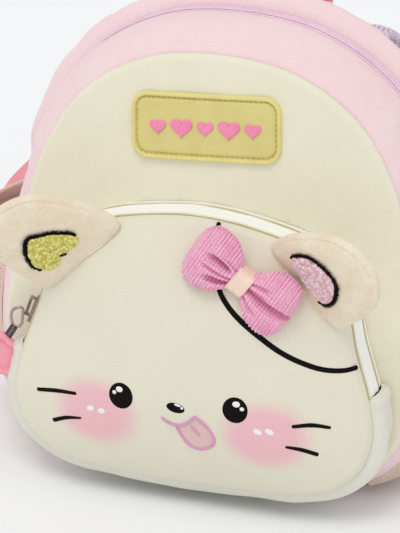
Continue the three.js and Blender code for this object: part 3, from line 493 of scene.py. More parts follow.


# The pocket's face is the same cream foam; its colour is a little darker than the panel's, as painted shade.
# The pocket's cheeks are airbrushed: a soft pink oval that thins out towards its edge.
kit, colour, stitches = neoprene("painted_shade_face_neoprene", (234, 230, 210), (229, 224, 201))
x, _, z = kit.parts(kit.place())[:3]
speck = kit.noise(kit.place(), 1.6, 2.0)
for middle in ((-47.0, 55.0), (46.0, 56.0)):
    blush = oval(kit, x, z, middle, (21.5, 18.0), 0, 0.36)
    blush = kit.math("MULTIPLY", blush, kit.ramp(speck, 0.1, 0.6, 0.72, 0.92))
    colour = kit.blend(blush, colour, light(242, 187, 197))
face_cloth = kit.finish(colour, stitches, 0.16)
print("neoprenes:", [m.name for m in bpy.data.materials if m.name.endswith("neoprene")])

# %% [markdown]
# Woven tape and ribbon have fine ribs across and a soft gloss along. The nylon coil is smooth
# thread, so it is shinier. The pocket's satin tape has thin lines of painted shade in its seam and
# slit grooves, and rows of bright stitches, which stand at measured distances down the tape.

# %% Tapes and ribbons


def woven(name, colour, deep, roughness, pitch, depth=0.08):
    """Ribs across the tape times a finer wave along it, over a cloudy colour."""
    kit = Finish(name, roughness, Sheen_Weight=0.08, Specular_IOR_Level=0.35)
    u, v = kit.parts(kit.cloth())[:2]
    across = kit.stripes(u, pitch)
    along = kit.stripes(v, pitch * 1.3)
    weave = kit.math("MULTIPLY", across, kit.math("ADD", kit.math("MULTIPLY", along, 0.5), 0.5))
    cloud = kit.ramp(kit.noise(kit.place(), 12.0, 3.0), 0.3, 0.7)
    tint = kit.math("ADD", kit.math("MULTIPLY", weave, -0.35), kit.math("MULTIPLY", cloud, 0.4))
    colour = kit.blend(kit.math("ADD", tint, 0.25), light(*colour), light(*deep))
    return kit.finish(colour, weave, depth)


def satin_with_painted_shade_lines(name, lines, rows):
    """Satin with thin lines of painted shade in its grooves, and rows of short bright stitches, at given
    distances down the tape.
    """
    kit = Finish(name, 0.5, Sheen_Weight=0.08, Specular_IOR_Level=0.35)
    u, v = kit.parts(kit.cloth())[:2]
    fine = kit.stripes(kit.math("ADD", u, kit.math("MULTIPLY", v, 0.3)), 0.6)
    colour = kit.blend(kit.math("MULTIPLY", fine, 0.5), light(255, 255, 251), light(252, 252, 242))
    # Each line is painted shade along a groove: its place down the tape, its width and its darker tone.
    for at, wide, tone in lines:
        near = kit.math("ABSOLUTE", kit.math("SUBTRACT", v, at))
        colour = kit.blend(kit.ramp(near, wide, 0.35 * wide), colour, light(*tone))
    for at in rows:
        near = kit.ramp(kit.math("ABSOLUTE", kit.math("SUBTRACT", v, at)), 0.75, 0.45)
        gaps = kit.stripes(kit.math("ADD", u, kit.math("MULTIPLY", v, 0.6)), 1.7, 2.0)
        colour = kit.blend(kit.math("MULTIPLY", near, gaps), colour, light(214, 208, 178))
    return kit.finish(colour, fine, 0.06)


# In front, the painted shade lines lie at the face's seam and at the slit; behind, at the slit and at the
# tape's far seam.
satin_front = satin_with_painted_shade_lines(
    "satin_tape_front", [(0.1, 0.9, (196, 180, 132)), (19.1, 1.0, (206, 192, 140))], [1.7, 16.4]
)
satin_back = satin_with_painted_shade_lines(
    "satin_tape_back", [(0.1, 0.9, (206, 192, 140)), (11.6, 0.8, (214, 204, 170))], [3.2]
)
lilac = woven("lilac_tape", (248, 222, 232), (242, 206, 220), 0.55, 0.7)
coil_nylon = woven("lilac_coil", (244, 214, 232), (232, 190, 214), 0.38, 0.7)
ribbon = woven("ribbon_satin", (250, 222, 208), (243, 208, 192), 0.42, 0.5, 0.05)
coral = woven("coral_webbing", (247, 164, 172), (238, 143, 154), 0.7, 1.5, 0.3)

# Ribbed webbing is woven in pink and white threads, in ridges along its length.
kit = Finish("ribbed_webbing", 0.7, Sheen_Weight=0.1)
u, v = kit.parts(kit.cloth())[:2]
ridges = kit.stripes(v, 1.7)
colour = kit.blend(kit.ramp(ridges, 0.25, 0.75), light(238, 120, 158), light(252, 214, 226))
ribbed = kit.finish(colour, kit.math("ADD", ridges, kit.math("MULTIPLY", kit.stripes(u, 2.4), 0.6)), 0.4)
tapes = (satin_front, satin_back, lilac, coil_nylon, ribbon, coral, ribbed)
print("woven finishes:", [tape.name for tape in tapes])

# %% [markdown]
# The back and the pads are spacer mesh: a lavender-grey knit with rows of small open holes.
# The side pockets are one layer of beige mesh whose holes show brown. Open holes would take
# millions of triangles, so they are drawn in a darker colour, as painted shade for the depth
# seen through them, and pressed in by a bump.

# %% Meshes


def holes(kit, vector, pitch, size):
    """1 in round holes that stand in staggered rows, 0 between them."""
    u, v = kit.parts(vector)[:2]
    row = kit.math("FLOOR", kit.math("DIVIDE", v, pitch * 0.87))
    shift = kit.math("MULTIPLY", kit.math("MODULO", kit.math("ABSOLUTE", row), 2.0), 0.5)
    a = kit.math("SUBTRACT", kit.math("FRACT", kit.math("ADD", kit.math("DIVIDE", u, pitch), shift)), 0.5)
    b = kit.math("SUBTRACT", kit.math("FRACT", kit.math("DIVIDE", v, pitch * 0.87)), 0.5)
    away = kit.math("SQRT", kit.math("ADD", kit.math("MULTIPLY", a, a), kit.math("MULTIPLY", b, b)))
    return kit.ramp(away, size + 0.1, size - 0.05)


def mesh_cloth(name, colour, hole, pitch, size, depth):
    """A cloudy thread colour with rows of holes painted in a darker second colour, as shade."""
    kit = Finish(name, 0.88, Sheen_Weight=0.15)
    open_places = holes(kit, kit.cloth(), pitch, size)
    cloud = kit.ramp(kit.noise(kit.place(), 22.0, 3.0), 0.3, 0.7)
    thread = kit.noise(kit.place(), 0.5, 1.0)
    base = kit.blend(kit.math("MULTIPLY", cloud, 0.3), light(*colour), light(*[0.94 * c for c in colour]))
    base = kit.blend(kit.ramp(thread, 0.35, 0.65, 0.0, 0.18), base, light(*[0.86 * c for c in colour]))
    # The holes are painted shade: a darker colour for the depth seen through them.
    colour = kit.blend(open_places, base, light(*hole))
    height = kit.math("SUBTRACT", kit.math("MULTIPLY", thread, 0.3), open_places)
    return kit.finish(colour, height, depth)


pocket_mesh = mesh_cloth("beige_mesh", (229, 206, 188), (196, 150, 124), 2.6, 0.17, 0.3)
binding_cloth = woven("beige_binding", (240, 214, 198), (232, 202, 184), 0.75, 0.9, 0.15)
spacer = mesh_cloth("lavender_spacer_mesh", (226, 208, 222), (196, 172, 190), 2.8, 0.2, 0.4)
print("meshes:", pocket_mesh.name, spacer.name)

# %% [markdown]
# Plush is a dense short pile. Its colour is palest where the pile lies towards the light, and
# it never shines. Fleece is the same wool in tight curls; its hollows are painted darker, as
# painted shade, and its tips lighter. Strands of hair would be lost when the model leaves
# Blender, so noise and a sheen stand for the pile.

# %% Plush, fleece and thread


def plush(name, colour, deep, lump, fine, depth):
    """Two noises: large lumps blend two colours, and a fine pile shades them."""
    kit = Finish(name, 0.95, Sheen_Weight=0.45, Sheen_Roughness=0.35, Specular_IOR_Level=0.1)
    place = kit.place()
    lumps = kit.noise(place, lump, 4.0, 0.6)
    pile = kit.noise(place, fine, 3.0, 0.7)
    colour = kit.blend(kit.ramp(lumps, 0.35, 0.65), light(*deep), light(*colour))
    shade = kit.ramp(pile, 0.25, 0.75, 0.93, 1.04)
    colour = kit.blend(1.0, colour, kit.add("CombineColor", {0: shade, 1: shade, 2: shade}), "MULTIPLY")
    height = kit.math("ADD", kit.math("MULTIPLY", lumps, 0.5), pile)
    return kit.finish(colour, height, depth)


ear_plush = plush("peach_plush", (255, 243, 220), (251, 232, 204), 12.0, 0.8, 0.7)


def fleece(name, light_tip, hollow_shade):
    """The distance to scattered curl middles, roughened by fibres, blends a light tip into a hollow of
    painted shade.
    """
    kit = Finish(name, 0.95, Sheen_Weight=0.3, Specular_IOR_Level=0.1)
    place = kit.place()
    curl = kit.add("TexVoronoi", {"Vector": place, "Scale": 0.55, "Randomness": 1.0}, out="Distance")
    fibre = kit.noise(place, 0.35, 2.0)
    fuzz = kit.math("MULTIPLY", kit.math("SUBTRACT", fibre, 0.5), 0.7)
    factor = kit.math("ADD", kit.ramp(curl, 0.15, 0.75), fuzz)
    # The hollows between the curls are painted shade: darker towards them, lighter at the tips.
    colour = kit.blend(factor, light(*light_tip), light(*hollow_shade))
    return kit.finish(colour, kit.math("SUBTRACT", fibre, curl), 0.5)


yellow_fleece = fleece("yellow_fleece", (252, 248, 160), (210, 196, 80))
pink_fleece = fleece("pink_fleece", (255, 238, 240), (236, 178, 190))

kit = Finish("black_thread", 0.85, Specular_IOR_Level=0.06)
fibre = kit.noise(kit.place(), 0.3, 3.0, 0.8)
black_thread = kit.finish(kit.blend(fibre, light(10, 7, 8), light(38, 30, 32)), fibre, 0.4)

kit = Finish("embroidery_pink", 0.6, Sheen_Weight=0.2)
satin_rows = kit.stripes(kit.parts(kit.cloth())[0], 0.5)
pink_thread = kit.finish(kit.blend(satin_rows, light(232, 150, 198), light(248, 188, 222)), satin_rows, 0.2)

kit = Finish("tongue_fill", 0.75, Sheen_Weight=0.2)
x, _, z = kit.parts(kit.place())[:3]
fill_rows = kit.stripes(kit.math("ADD", x, kit.math("MULTIPLY", z, 0.6)), 0.8)
tint = kit.math("MULTIPLY", fill_rows, kit.noise(kit.place(), 1.2))
colour = kit.blend(tint, light(246, 214, 204), light(252, 196, 212))
tongue_thread = kit.finish(colour, fill_rows, 0.25)
print("threads:", black_thread.name, pink_thread.name, tongue_thread.name)

# %% [markdown]
# The bow is waffle knit: ribs run out from the knot and are crossed by others, which makes a
# small grid. The waves of the knit are in the mesh; its darker lines, painted shade in the
# grooves of the grid, and the fuzz are here. Prints are flat and matt, moulded rubber has small
# pits, and metal has fine scratches.

# %% Waffle knit, prints, rubber and metal
WAFFLE_PITCH = 2.1
kit = Finish("waffle_knit", 0.9, Sheen_Weight=0.25, Sheen_Roughness=0.4, Specular_IOR_Level=0.15)
u, v = kit.parts(kit.cloth())[:2]
cross = kit.stripes(v, WAFFLE_PITCH, 4.0)
melange = kit.noise(kit.place(), 0.6, 3.0, 0.7)
cloud = kit.noise(kit.place(), 7.0, 2.0)
colour = kit.blend(kit.ramp(melange, 0.3, 0.7), light(250, 146, 192), light(255, 232, 242))
lengthwise = kit.stripes(u, WAFFLE_PITCH, 4.0)
# The grid's lines are painted shade in its grooves, blended towards a darker pink.
lines = kit.math("MULTIPLY", kit.math("MAXIMUM", cross, lengthwise), 0.5)
colour = kit.blend(lines, colour, light(232, 98, 156))
colour = kit.blend(kit.ramp(cloud, 0.4, 0.7, 0.0, 0.3), colour, light(255, 206, 228))
waffle = kit.finish(colour, kit.math("SUBTRACT", melange, cross), 0.3)

kit = Finish("black_print", 0.6, Specular_IOR_Level=0.08)
grain = kit.noise(kit.place(), 0.6, 2.0)
black_print = kit.finish(kit.blend(grain, light(8, 6, 6), light(22, 18, 17)), grain, 0.04)
kit = Finish("white_print", 0.6)
white_print = kit.finish(kit.blend(kit.noise(kit.place(), 0.8), light(250, 246, 248), light(240, 234, 240)))


def rubber(name, colour, deep, roughness=0.42):
    """A cloudy blend of two near colours, with pits as fine noise."""
    kit = Finish(name, roughness, Specular_IOR_Level=0.45)
    place = kit.place()
    cloud = kit.ramp(kit.noise(place, 9.0, 2.0), 0.35, 0.7)
    pits = kit.noise(place, 0.5, 2.0)
    return kit.finish(kit.blend(kit.math("MULTIPLY", cloud, 0.5), light(*colour), light(*deep)), pits, 0.03)


badge_field_rubber = rubber("badge_field", (222, 209, 136), (214, 200, 124))
# The rim's rubber is a lighter copy of the field's, as a painted highlight on the raised rim.
painted_highlight_rim_rubber = rubber("badge_rim", (230, 218, 142), (222, 208, 130))
badge_thread = rubber("badge_thread", (206, 190, 104), (186, 168, 84), 0.7)
heart_rubber = rubber("pink_rubber", (248, 142, 184), (242, 128, 172))
charm_rubber = rubber("charm_rubber", (252, 168, 182), (248, 152, 170), 0.38)
buckle = rubber("pink_plastic", (244, 166, 182), (238, 152, 170), 0.35)


def metal(name, colour, deep, roughness):
    """A cloudy blend of a bright and a dark tone, with scratches as very fine noise."""
    kit = Finish(name, roughness, Metallic=1.0)
    cloud = kit.noise(kit.place(), 3.0, 3.0)
    scratch = kit.noise(kit.place(), 0.25, 2.0)
    return kit.finish(kit.blend(cloud, light(*colour), light(*deep)), scratch, 0.02)


silver = metal("pale_silver", (214, 196, 196), (136, 118, 122), 0.2)
gunmetal = metal("dark_steel", (112, 106, 110), (52, 48, 54), 0.22)
bronze = metal("warm_bronze", (176, 158, 140), (110, 94, 84), 0.25)
print("finishes:", len(bpy.data.materials))

# %% [markdown]
# ## The body
#
# The front panel is a shallow dome inside a closed outline. The gusset runs round it: at each
# place on the outline it goes straight back to the back seam and swells outwards on the way.
# Where it meets a seam, the foam rolls in and leaves a narrow groove. The foam keeps its form
# without a load, so a formula gives it more surely than a cloth simulation would.

# %% Sizes of the body
PANEL_WIDTH, PANEL_HEIGHT, PANEL_LIFT = 230.0, 236.0, 6.2
SEAM_GAP, FOAM, TAPE = 0.3, 3.0, 1.4
BODY_FRONT, BODY_DEPTH, BODY_SWELL, BODY_LEAN = -45.0, 80.0, 12.0, 0.04
PANEL_DOME, BACK_PAD, BACK_CROWN, BACK_FLAT = 7.0, 8.0, 4.0, 0.6
ZIP_PLACE, ZIP_WIDTH, ZIP_SINK, ZIP_END, COIL_WIDTH, COIL_RISE = 0.56, 11.0, 0.8, 112.0, 5.6, 1.1
panel = outline(
    [(0, 1), (0.35, 0.975), (0.65, 0.884), (0.833, 0.741), (0.918, 0.586), (0.979, 0.423), (1, 0.33),
     (0.984, 0.231), (0.913, 0.134), (0.776, 0.057), (0.587, 0.012), (0.38, 0), (0, 0)],
    PANEL_WIDTH, PANEL_HEIGHT, PANEL_LIFT,
)
panel_middle = np.array([0, PANEL_LIFT + PANEL_HEIGHT / 2])
panel_top = PANEL_LIFT + PANEL_HEIGHT
panel_share = outness(panel, panel_middle)
back_seam = BODY_FRONT + BODY_DEPTH
print(f"way round the panel: {panel.length:.0f} mm")


def seam_y(z):
    """The front seam leans back a little with height."""
    return BODY_FRONT + BODY_LEAN * (z - panel_middle[1])


def panel_front(x, z):
    """The face of the front panel: the seam's place, less the foam and the dome."""
    return seam_y(z) - SEAM_GAP - FOAM - PANEL_DOME * arch(panel_share(x, z), 2.2)


def above(value, floor, soft=2.5):
    """The larger of a value and a floor, rounded where they meet."""
    return 0.5 * (value + floor + np.sqrt((value - floor) ** 2 + soft**2 * 0.25))


def gusset_point(along, across, out=0.0):
    """A place on the gusset: out of the outline by the swell, and back from seam to seam."""
    e, t = panel.at(along), panel.heading(along)
    swell = BODY_SWELL * (1 - np.abs(2 * across - 1) ** 2.6) + out
    x = e[..., 0] - t[..., 1] * swell
    z = above(e[..., 1] + t[..., 0] * swell, np.maximum(0, -np.asarray(out)))
    return stack(x, mix(seam_y(e[..., 1]), back_seam, across), z)


def groove(distance, depth, width):
    """A bell-shaped dent at distance 0."""
    return -depth * np.exp(-((distance / width) ** 2))


# %% [markdown]
# The panel is made of rings, from its middle out to the seam. They lie closer together near
# the rim, where the foam turns in, so that this small rounding stays smooth.

# %% Front panel
shares = edge_shares(64)
x, z = rings_of(panel, 420, shares, panel_middle)
s = shares[:, None]
face = panel_front(x, z) + 2.5 * np.clip((s - 0.972) / 0.028, 0, 1) ** 2.4
face = face + 0.35 * waves(3, x, z, scale=70) * (1 - s**6)
disc("front_panel_cloth", stack(x, face, z), stack(x, panel_front(x, z) + FOAM, z), cream,
     ["front_panel"], slot="cream_neoprene")

# %% [markdown]
# The pink gusset is a band before the zip, a band behind it and the base, which joins both.
# All three are one function over other parts of the way round, so their seams meet exactly.
# Each has its own relief, a height over the wall by the millimetres along it and across it.

# %% Pink gusset bands and base
zip_start = rows_down(panel, ZIP_END)
zip_front = ZIP_PLACE - ZIP_WIDTH / 2 / BODY_DEPTH
zip_back = ZIP_PLACE + ZIP_WIDTH / 2 / BODY_DEPTH


def gusset(name, along, across, size, finish, nodes, thick=FOAM, relief=None, **more):
    """A wall of the gusset, with relief as a height over it by millimetres along and across."""
    u = np.linspace(*along, size[0])[None]
    v = np.linspace(*across, size[1])[:, None]
    height = relief(u * panel.length, v * BODY_DEPTH) if relief else 0.0
    outer = gusset_point(u + 0 * v, v + 0 * u, height + 0 * (u + v))
    inner = gusset_point(u + 0 * v, v + 0 * u, -thick + 0 * (u + v))
    return shell(name, outer, inner, finish, nodes, **more)


def band_relief(low, high, zip_edge, seed, full=0.0):
    """Rolled edges, a stitched-down fold beside the zip, slow waves between, and a fuller middle."""
    zip_from, zip_to = zip_start * panel.length, (1 - zip_start) * panel.length

    def relief(u, v):
        """The sum of the belly, both rolled edges, the fold and the creases."""
        edges = groove(v - low, 1.5, 1.6) + groove(v - high, 1.5, 1.6)
        fold = groove(np.abs(v - zip_edge) - 4.2, 0.45, 0.7)
        rise = ease(0, 14, v - low) * ease(0, 14, high - v)
        upper = ease(zip_from + 2, zip_from + 50, u) * ease(zip_to - 2, zip_to - 50, u)
        upper = upper * (1 + 0.35 * ease(0.42, 0.3, u / panel.length))
        belly = full * upper * np.sin(np.pi * np.clip((v - low) / (high - low), 0, 1)) ** 0.8
        creases = 0.7 * waves(seed, u, v, scale=60) + 0.25 * waves(seed + 1, u, v, scale=22)
        return belly + edges + fold + rise * creases

    return relief


over_top = (zip_start, 1 - zip_start)
zip_low, zip_high = zip_front * BODY_DEPTH - SEAM_GAP, zip_back * BODY_DEPTH + SEAM_GAP
gusset("front_band_cloth", over_top, (0, zip_low / BODY_DEPTH), (460, 34), pink,
       ["gusset_front_band"], relief=band_relief(0, zip_low, zip_low, 11), slot="pink_neoprene")
gusset("back_band_cloth", over_top, (zip_high / BODY_DEPTH, 1), (460, 30), pink, ["gusset_back_band"],
       relief=band_relief(zip_high, BODY_DEPTH, zip_high, 15, full=10.5), slot="pink_neoprene")
base_end = zip_start - SEAM_GAP / panel.length


def base_relief(u, v):
    """The base lies flat; its ends are folded over the zip's ends."""
    ends = base_end * panel.length - np.abs(u)
    edges = groove(v, 1.5, 1.6) + groove(v - BODY_DEPTH, 1.5, 1.6) + groove(ends, 1.2, 1.2)
    rise = ease(0, 14, v) * ease(0, 14, BODY_DEPTH - v) * ease(0, 10, ends)
    return edges + rise * ease(90, 150, np.abs(u)) * 0.6 * waves(19, u, v, scale=50)


gusset("base_cloth", (-base_end, base_end), (0, 1), (420, 70), pink, ["gusset_base"],
       relief=base_relief, slot="pink_neoprene")

# %% [markdown]
# ## The main zip
#
# The lilac tape lies a little lower than the foam. On it the two rows of a nylon coil stand
# side by side, a tooth every 1.4 mm, with the line between them where the zip opens. A real
# coil is a spiral, but at this size only its row of bumps shows.

# %% Main zip
TAPE_RIB, TOOTH, SLIDER_HEIGHT, SLIDER_HALF = 2.2, 1.4, 172, 7


def tape_relief(u, v):
    """Sunk below the foam, with ribs along the tape."""
    return -ZIP_SINK + 0.25 * np.cos(2 * np.pi * (v - zip_front * BODY_DEPTH) / TAPE_RIB) + 0 * u


gusset("main_tape_cloth", over_top, (zip_front, zip_back), (420, 18), lilac, ["main_zip_tape"],
       thick=TAPE + ZIP_SINK, relief=tape_relief, slot="lilac_tape")
coil_from = zip_start + 2.5 / panel.length
coil_to = 1 - rows_down(panel, SLIDER_HEIGHT) - SLIDER_HALF / panel.length
teeth = int((coil_to - coil_from) * panel.length / TOOTH)


def coil_relief(u, v):
    """Two rounded rows of teeth, half a pitch apart, with a slit between them."""
    w = (v - ZIP_PLACE * BODY_DEPTH) / (COIL_WIDTH / 2)
    row = 1 - np.abs(2 * np.abs(w) - 1) ** 3
    tooth = np.abs(np.sin(np.pi * (u / TOOTH + 0.5 * (w > 0))))
    return SEAM_GAP - ZIP_SINK + COIL_RISE * row * (0.45 + 0.55 * tooth)


half = COIL_WIDTH / 2 / BODY_DEPTH
gusset("main_coil", (coil_from, coil_to), (ZIP_PLACE - half, ZIP_PLACE + half), (teeth * 4, 11), coil_nylon,
       ["main_zip_coil"], thick=0.45, relief=coil_relief, slot="lilac_tape")

# %% [markdown]
# ## The back
#
# The wearer's side is a foam pad under spacer mesh. It is pressed into two upright channels
# for air, and its edge is drawn down to the seam. The same rings as the front panel's make it,
# with the channels as two bell-shaped dents.

# %% Padded back
CHANNEL_AT, CHANNEL_HALF, CHANNEL_DEPTH = 24, 3.2, 2.2
shares = edge_shares(56)
x, z = rings_of(panel, 300, shares, panel_middle)
s = shares[:, None]
drop = BACK_CROWN * np.clip((s - BACK_FLAT) / (1 - BACK_FLAT), 0, 1) ** 2
pad = back_seam + SEAM_GAP + BACK_PAD - drop + 0 * x
channels = np.exp(-(((np.abs(x) - CHANNEL_AT) / CHANNEL_HALF) ** 2)) * ease(0.78, 0.66, s)
pad = pad - CHANNEL_DEPTH * channels - 2.0 * np.clip((s - 0.97) / 0.03, 0, 1) ** 2
disc("back_pad_cloth", stack(x, pad, z), stack(x, back_seam + SEAM_GAP + 0 * x, z), spacer,
     ["back_panel"], slot="back_fabric")

# %% [markdown]
# ## The front pocket
#
# The pocket's face is a second dome in front of the panel, joined to it by a strip. The upper
# part of the strip is a white zip, closed; below the zip's ends it is a wide band of the same
# foam, folded over where it starts.

# %% Sizes of the pocket
POCKET_DEPTH, POCKET_DOME, POCKET_LIFT, POCKET_HEIGHT, POCKET_WIDTH = 30.0, 21.0, 15.0, 149.0, 197.0
pocket = outline(
    [(0, 1), (0.3, 0.98), (0.556, 0.935), (0.7, 0.876), (0.789, 0.798), (0.844, 0.7), (0.878, 0.6),
     (0.98, 0.382), (1, 0.255), (0.941, 0.137), (0.796, 0.055), (0.606, 0.018), (0.4, 0.008), (0, 0)],
    POCKET_WIDTH, POCKET_HEIGHT, POCKET_LIFT,
)
pocket_middle = np.array([0, POCKET_LIFT + POCKET_HEIGHT / 2])
pocket_share = outness(pocket, pocket_middle)
POCKET_ZIP_END, SLIT_PLACE, SLIT = 77, 0.64, 0.6
STRIP_SWELL, STRIP_PROUD, TAPE_SWELL = 5.0, 1.1, 1.5
print(f"way round the pocket: {pocket.length:.0f} mm")


def pocket_seam(z):
    """The pocket's front seam stands before the panel's by the pocket's depth."""
    return seam_y(z) - POCKET_DEPTH


def pocket_front(x, z):
    """The face of the pocket: its seam's place, less the foam and a fuller dome."""
    return pocket_seam(z) - SEAM_GAP - FOAM - POCKET_DOME * arch(pocket_share(x, z), 2.4)


def face_surface(x, z):
    """The pocket's face with its slow waves."""
    s = pocket_share(x, z)
    return pocket_front(x, z) + 0.3 * waves(23, x, z, scale=80) * (1 - np.minimum(1, s) ** 6)


def pocket_point(along, across, out, swell):
    """A place on the pocket's strip: out by its own swell, and back from the face to the panel."""
    e, t = pocket.at(along), pocket.heading(along)
    push = swell * (1 - np.abs(2 * across - 1) ** 2.6) + out
    x, z = e[..., 0] - t[..., 1] * push, e[..., 1] + t[..., 0] * push
    return stack(x, mix(pocket_seam(e[..., 1]), panel_front(x, z) - SEAM_GAP, across), z)


def strip(name, along, across, size, finish, nodes, thick, swell, relief, **more):
    """A wall of the pocket's strip, made as the gusset's walls are."""
    u = np.linspace(*along, size[0])[None] + np.zeros((size[1], 1))
    v = np.linspace(*across, size[1])[:, None] + np.zeros((1, size[0]))
    outer = pocket_point(u, v, relief(u * pocket.length, v * POCKET_DEPTH), swell)
    inner = pocket_point(u, v, -thick, swell)
    return shell(name, outer, inner, finish, nodes, **more)


# %% Pocket face
shares = edge_shares(72, 1.8)
x, z = rings_of(pocket, 400, shares, pocket_middle)
s = shares[:, None]
edge = 3.2 * np.clip((s - 0.968) / 0.032, 0, 1) ** 2.4
disc("pocket_face_cloth", stack(x, face_surface(x, z) + edge, z), stack(x, pocket_front(x, z) + FOAM, z),
     face_cloth, ["pocket_face"], slot="cream_neoprene")

# %% [markdown]
# The zip is hidden between two halves of satin tape, with a narrow slit where they meet. Their
# sewing lines, beads and stitches are a low relief here and thin lines in the finish, because
# either alone would be lost at this distance; the finish's lines at the seams and the slit are
# painted shade. Below the zip's ends, the strip is thick foam.

# %% Pocket zip and strip
pocket_start = rows_down(pocket, POCKET_ZIP_END)
slit_at = SLIT_PLACE * POCKET_DEPTH
slit = SLIT / 2 / POCKET_DEPTH


def front_tape_relief(u, v):
    """A beaded seam by the face, a smooth band, and a row of short slanting stitches by the slit."""
    bead = 0.55 * np.exp(-(((v - 1.1) / 0.7) ** 2)) * (0.55 + 0.45 * np.sin(2 * np.pi * u / 1.5))
    slant = 0.3 + 0.7 * np.sin(2 * np.pi * (u + 0.5 * v) / 1.7)
    row = 0.32 * np.exp(-(((v - slit_at + 2.6) / 0.6) ** 2)) * slant
    fold = 0.5 * np.exp(-(((v - slit_at + 5.2) / 1.3) ** 2))
    return 0.3 + bead + row + fold - 0.9 * np.exp(-((slit_at - v) / 0.5)) + 0.15 * waves(31, u, v, scale=30)


def back_tape_relief(u, v):
    """A rounded lip by the slit, and a row of short stitches beside it."""
    row = 0.25 * np.exp(-(((v - slit_at - 3.0) / 0.55) ** 2)) * (0.3 + 0.7 * np.sin(2 * np.pi * u / 1.7))
    lip = 0.5 * np.exp(-(((v - slit_at - 1.2) / 1.0) ** 2))
    return 0.3 + row + lip - 0.9 * np.exp(-((v - slit_at) / 0.5)) + 0.15 * waves(33, u, v, scale=30)


arch_span = (pocket_start, 1 - pocket_start)
strip("pocket_tape_front_cloth", arch_span, (0, SLIT_PLACE - slit), (900, 30), satin_front,
      ["pocket_zip_tape_front"], TAPE, TAPE_SWELL, front_tape_relief, slot="satin_tape")
strip("pocket_tape_back_cloth", arch_span, (SLIT_PLACE + slit, 1), (900, 20), satin_back,
      ["pocket_zip_tape_back"], TAPE, TAPE_SWELL, back_tape_relief, slot="satin_tape")
strip_end = pocket_start - SEAM_GAP / pocket.length


def strip_relief(u, v):
    """Rolled long edges, and a thick folded end with a few creases below it."""
    ends = strip_end * pocket.length - np.abs(u)
    edges = groove(v, 2.4, 1.1) + groove(v - POCKET_DEPTH, 0.6, 1.2)
    fold = 1.3 * np.exp(-(((ends - 3.5) / 3.2) ** 2)) - 1.6 * np.exp(-((ends / 0.9) ** 2))
    crease = 0.5 * np.exp(-ends / 22) * np.sin(v / 3.1 + 0.9 * waves(41, u, scale=20)) * ease(4, 10, ends)
    lip = 2.7 * np.exp(-(((v - 6.0) / 5.5) ** 2)) * ease(0.0, 2.0, v) * ease(6, 34, ends)
    return STRIP_PROUD + edges + fold + lip + crease * ease(0, 4, v) + 0.35 * waves(43, u, v, scale=36)


# The band's cream is painted darker and greyer than the panel's, as shade.
strip("pocket_strip_cloth", (-strip_end, strip_end), (0, 1), (460, 40), painted_shade_strip_cream,
      ["pocket_gusset"], FOAM - STRIP_PROUD, STRIP_SWELL, strip_relief, slot="cream_neoprene")

# %% [markdown]
# ## The animal's face
#
# Eyes, nose, whiskers and the long dark line are printed. Each is a thin matt film laid on the
# pocket's face and cut to its outline, which keeps its edge crisp at any distance. The smile
# and the tongue are embroidered, so they stand up from the cloth as soft ridges.

# %% Films on the face


def film_parts(outline_points, lift, thick=0.14, rings=5):
    """A thin plate on the pocket's face inside an outline of x and z points."""
    loop = np.asarray(outline_points, float)
    middle = loop.mean(0)
    shares = np.linspace(0, 1, rings + 1)[1:]
    grid = middle + (loop[None] - middle) * shares[:, None, None]
    x, z = grid[..., 0], grid[..., 1]
    y = face_surface(x, z) - lift
    return stack(x, y - thick * (1 - 0.8 * (shares[:, None] > 0.99)), z), stack(x, y, z)


def films(name, outlines, finish, lift=0.05):
    """Several films in one mesh."""
    points, faces, uv, start = [], [], [], 0
    for loop in outlines:
        parts, caps, sides = plate(*film_parts(loop, lift))
        a, b, c = parts[caps[0]]
        if np.cross(b - a, c - a)[1] > 0:
            caps, sides = caps[:, ::-1], sides[:, ::-1]
        faces += list(caps + start) + list(sides + start)
        uv += [parts[f][:, [0, 2]] for f in list(caps) + list(sides)]
        points.append(parts)
        start += len(parts)
    return build(name, np.vstack(points), faces, uv, finish, None, slot="cream_neoprene")


def oval_loop(middle, radii, tilt=0, count=48):
    """An oval: cosine and sine by its radii, turned by its tilt."""
    angle = np.linspace(0, 2 * np.pi, count, endpoint=False)
    c, s = np.cos(np.radians(tilt)), np.sin(np.radians(tilt))
    p, q = radii[0] * np.cos(angle), radii[1] * np.sin(angle)
    return np.stack([middle[0] + p * c - q * s, middle[1] + p * s + q * c], -1)


EYES = [(-32.6, 68.1), (30.0, 70.2)]
WHISKERS = [
    ([(-83.2, 58.9), (-70.5, 61.9), (-58.4, 63.6)], [2.0, 2.3, 1.7]),
    ([(-73.3, 43.1), (-64.5, 47.4), (-55.7, 49.5)], [2.4, 2.2, 1.2]),
    ([(79.2, 63.7), (69.7, 64.9), (59.6, 63.6)], [1.6, 2.4, 1.9]),
    ([(73.5, 47.7), (65.0, 50.2), (56.5, 51.4)], [2.4, 2.4, 1.4]),
]
black_shapes = [oval_loop(middle, (6.7, 7.5)) for middle in EYES] + [oval_loop((-2.3, 66.3), (5.0, 2.9), -8)]
films("face_print_black", black_shapes, black_print)
white_shapes = [
    oval_loop((-33.5, 71.8), (1.9, 1.6)), oval_loop((-36.3, 69.6), (1.1, 1.1)),
    oval_loop((30.6, 73.8), (2.0, 1.7)), oval_loop((33.7, 71.4), (1.2, 1.1)),
    oval_loop((-1.2, 68.2), (1.9, 0.7), -12), oval_loop((1.2, 66.8), (0.8, 0.8)),
]
films("face_print_white", white_shapes, white_print, lift=0.2)
spots = [
    oval_loop((-50.2, 57.0), (2.2, 1.6), 25), oval_loop((-43.9, 56.7), (2.2, 1.6), 20),
    oval_loop((42.1, 58.9), (2.5, 1.6), -30), oval_loop((48.3, 59.6), (2.5, 1.6), -30),
]
films("cheek_spots", spots, white_print)


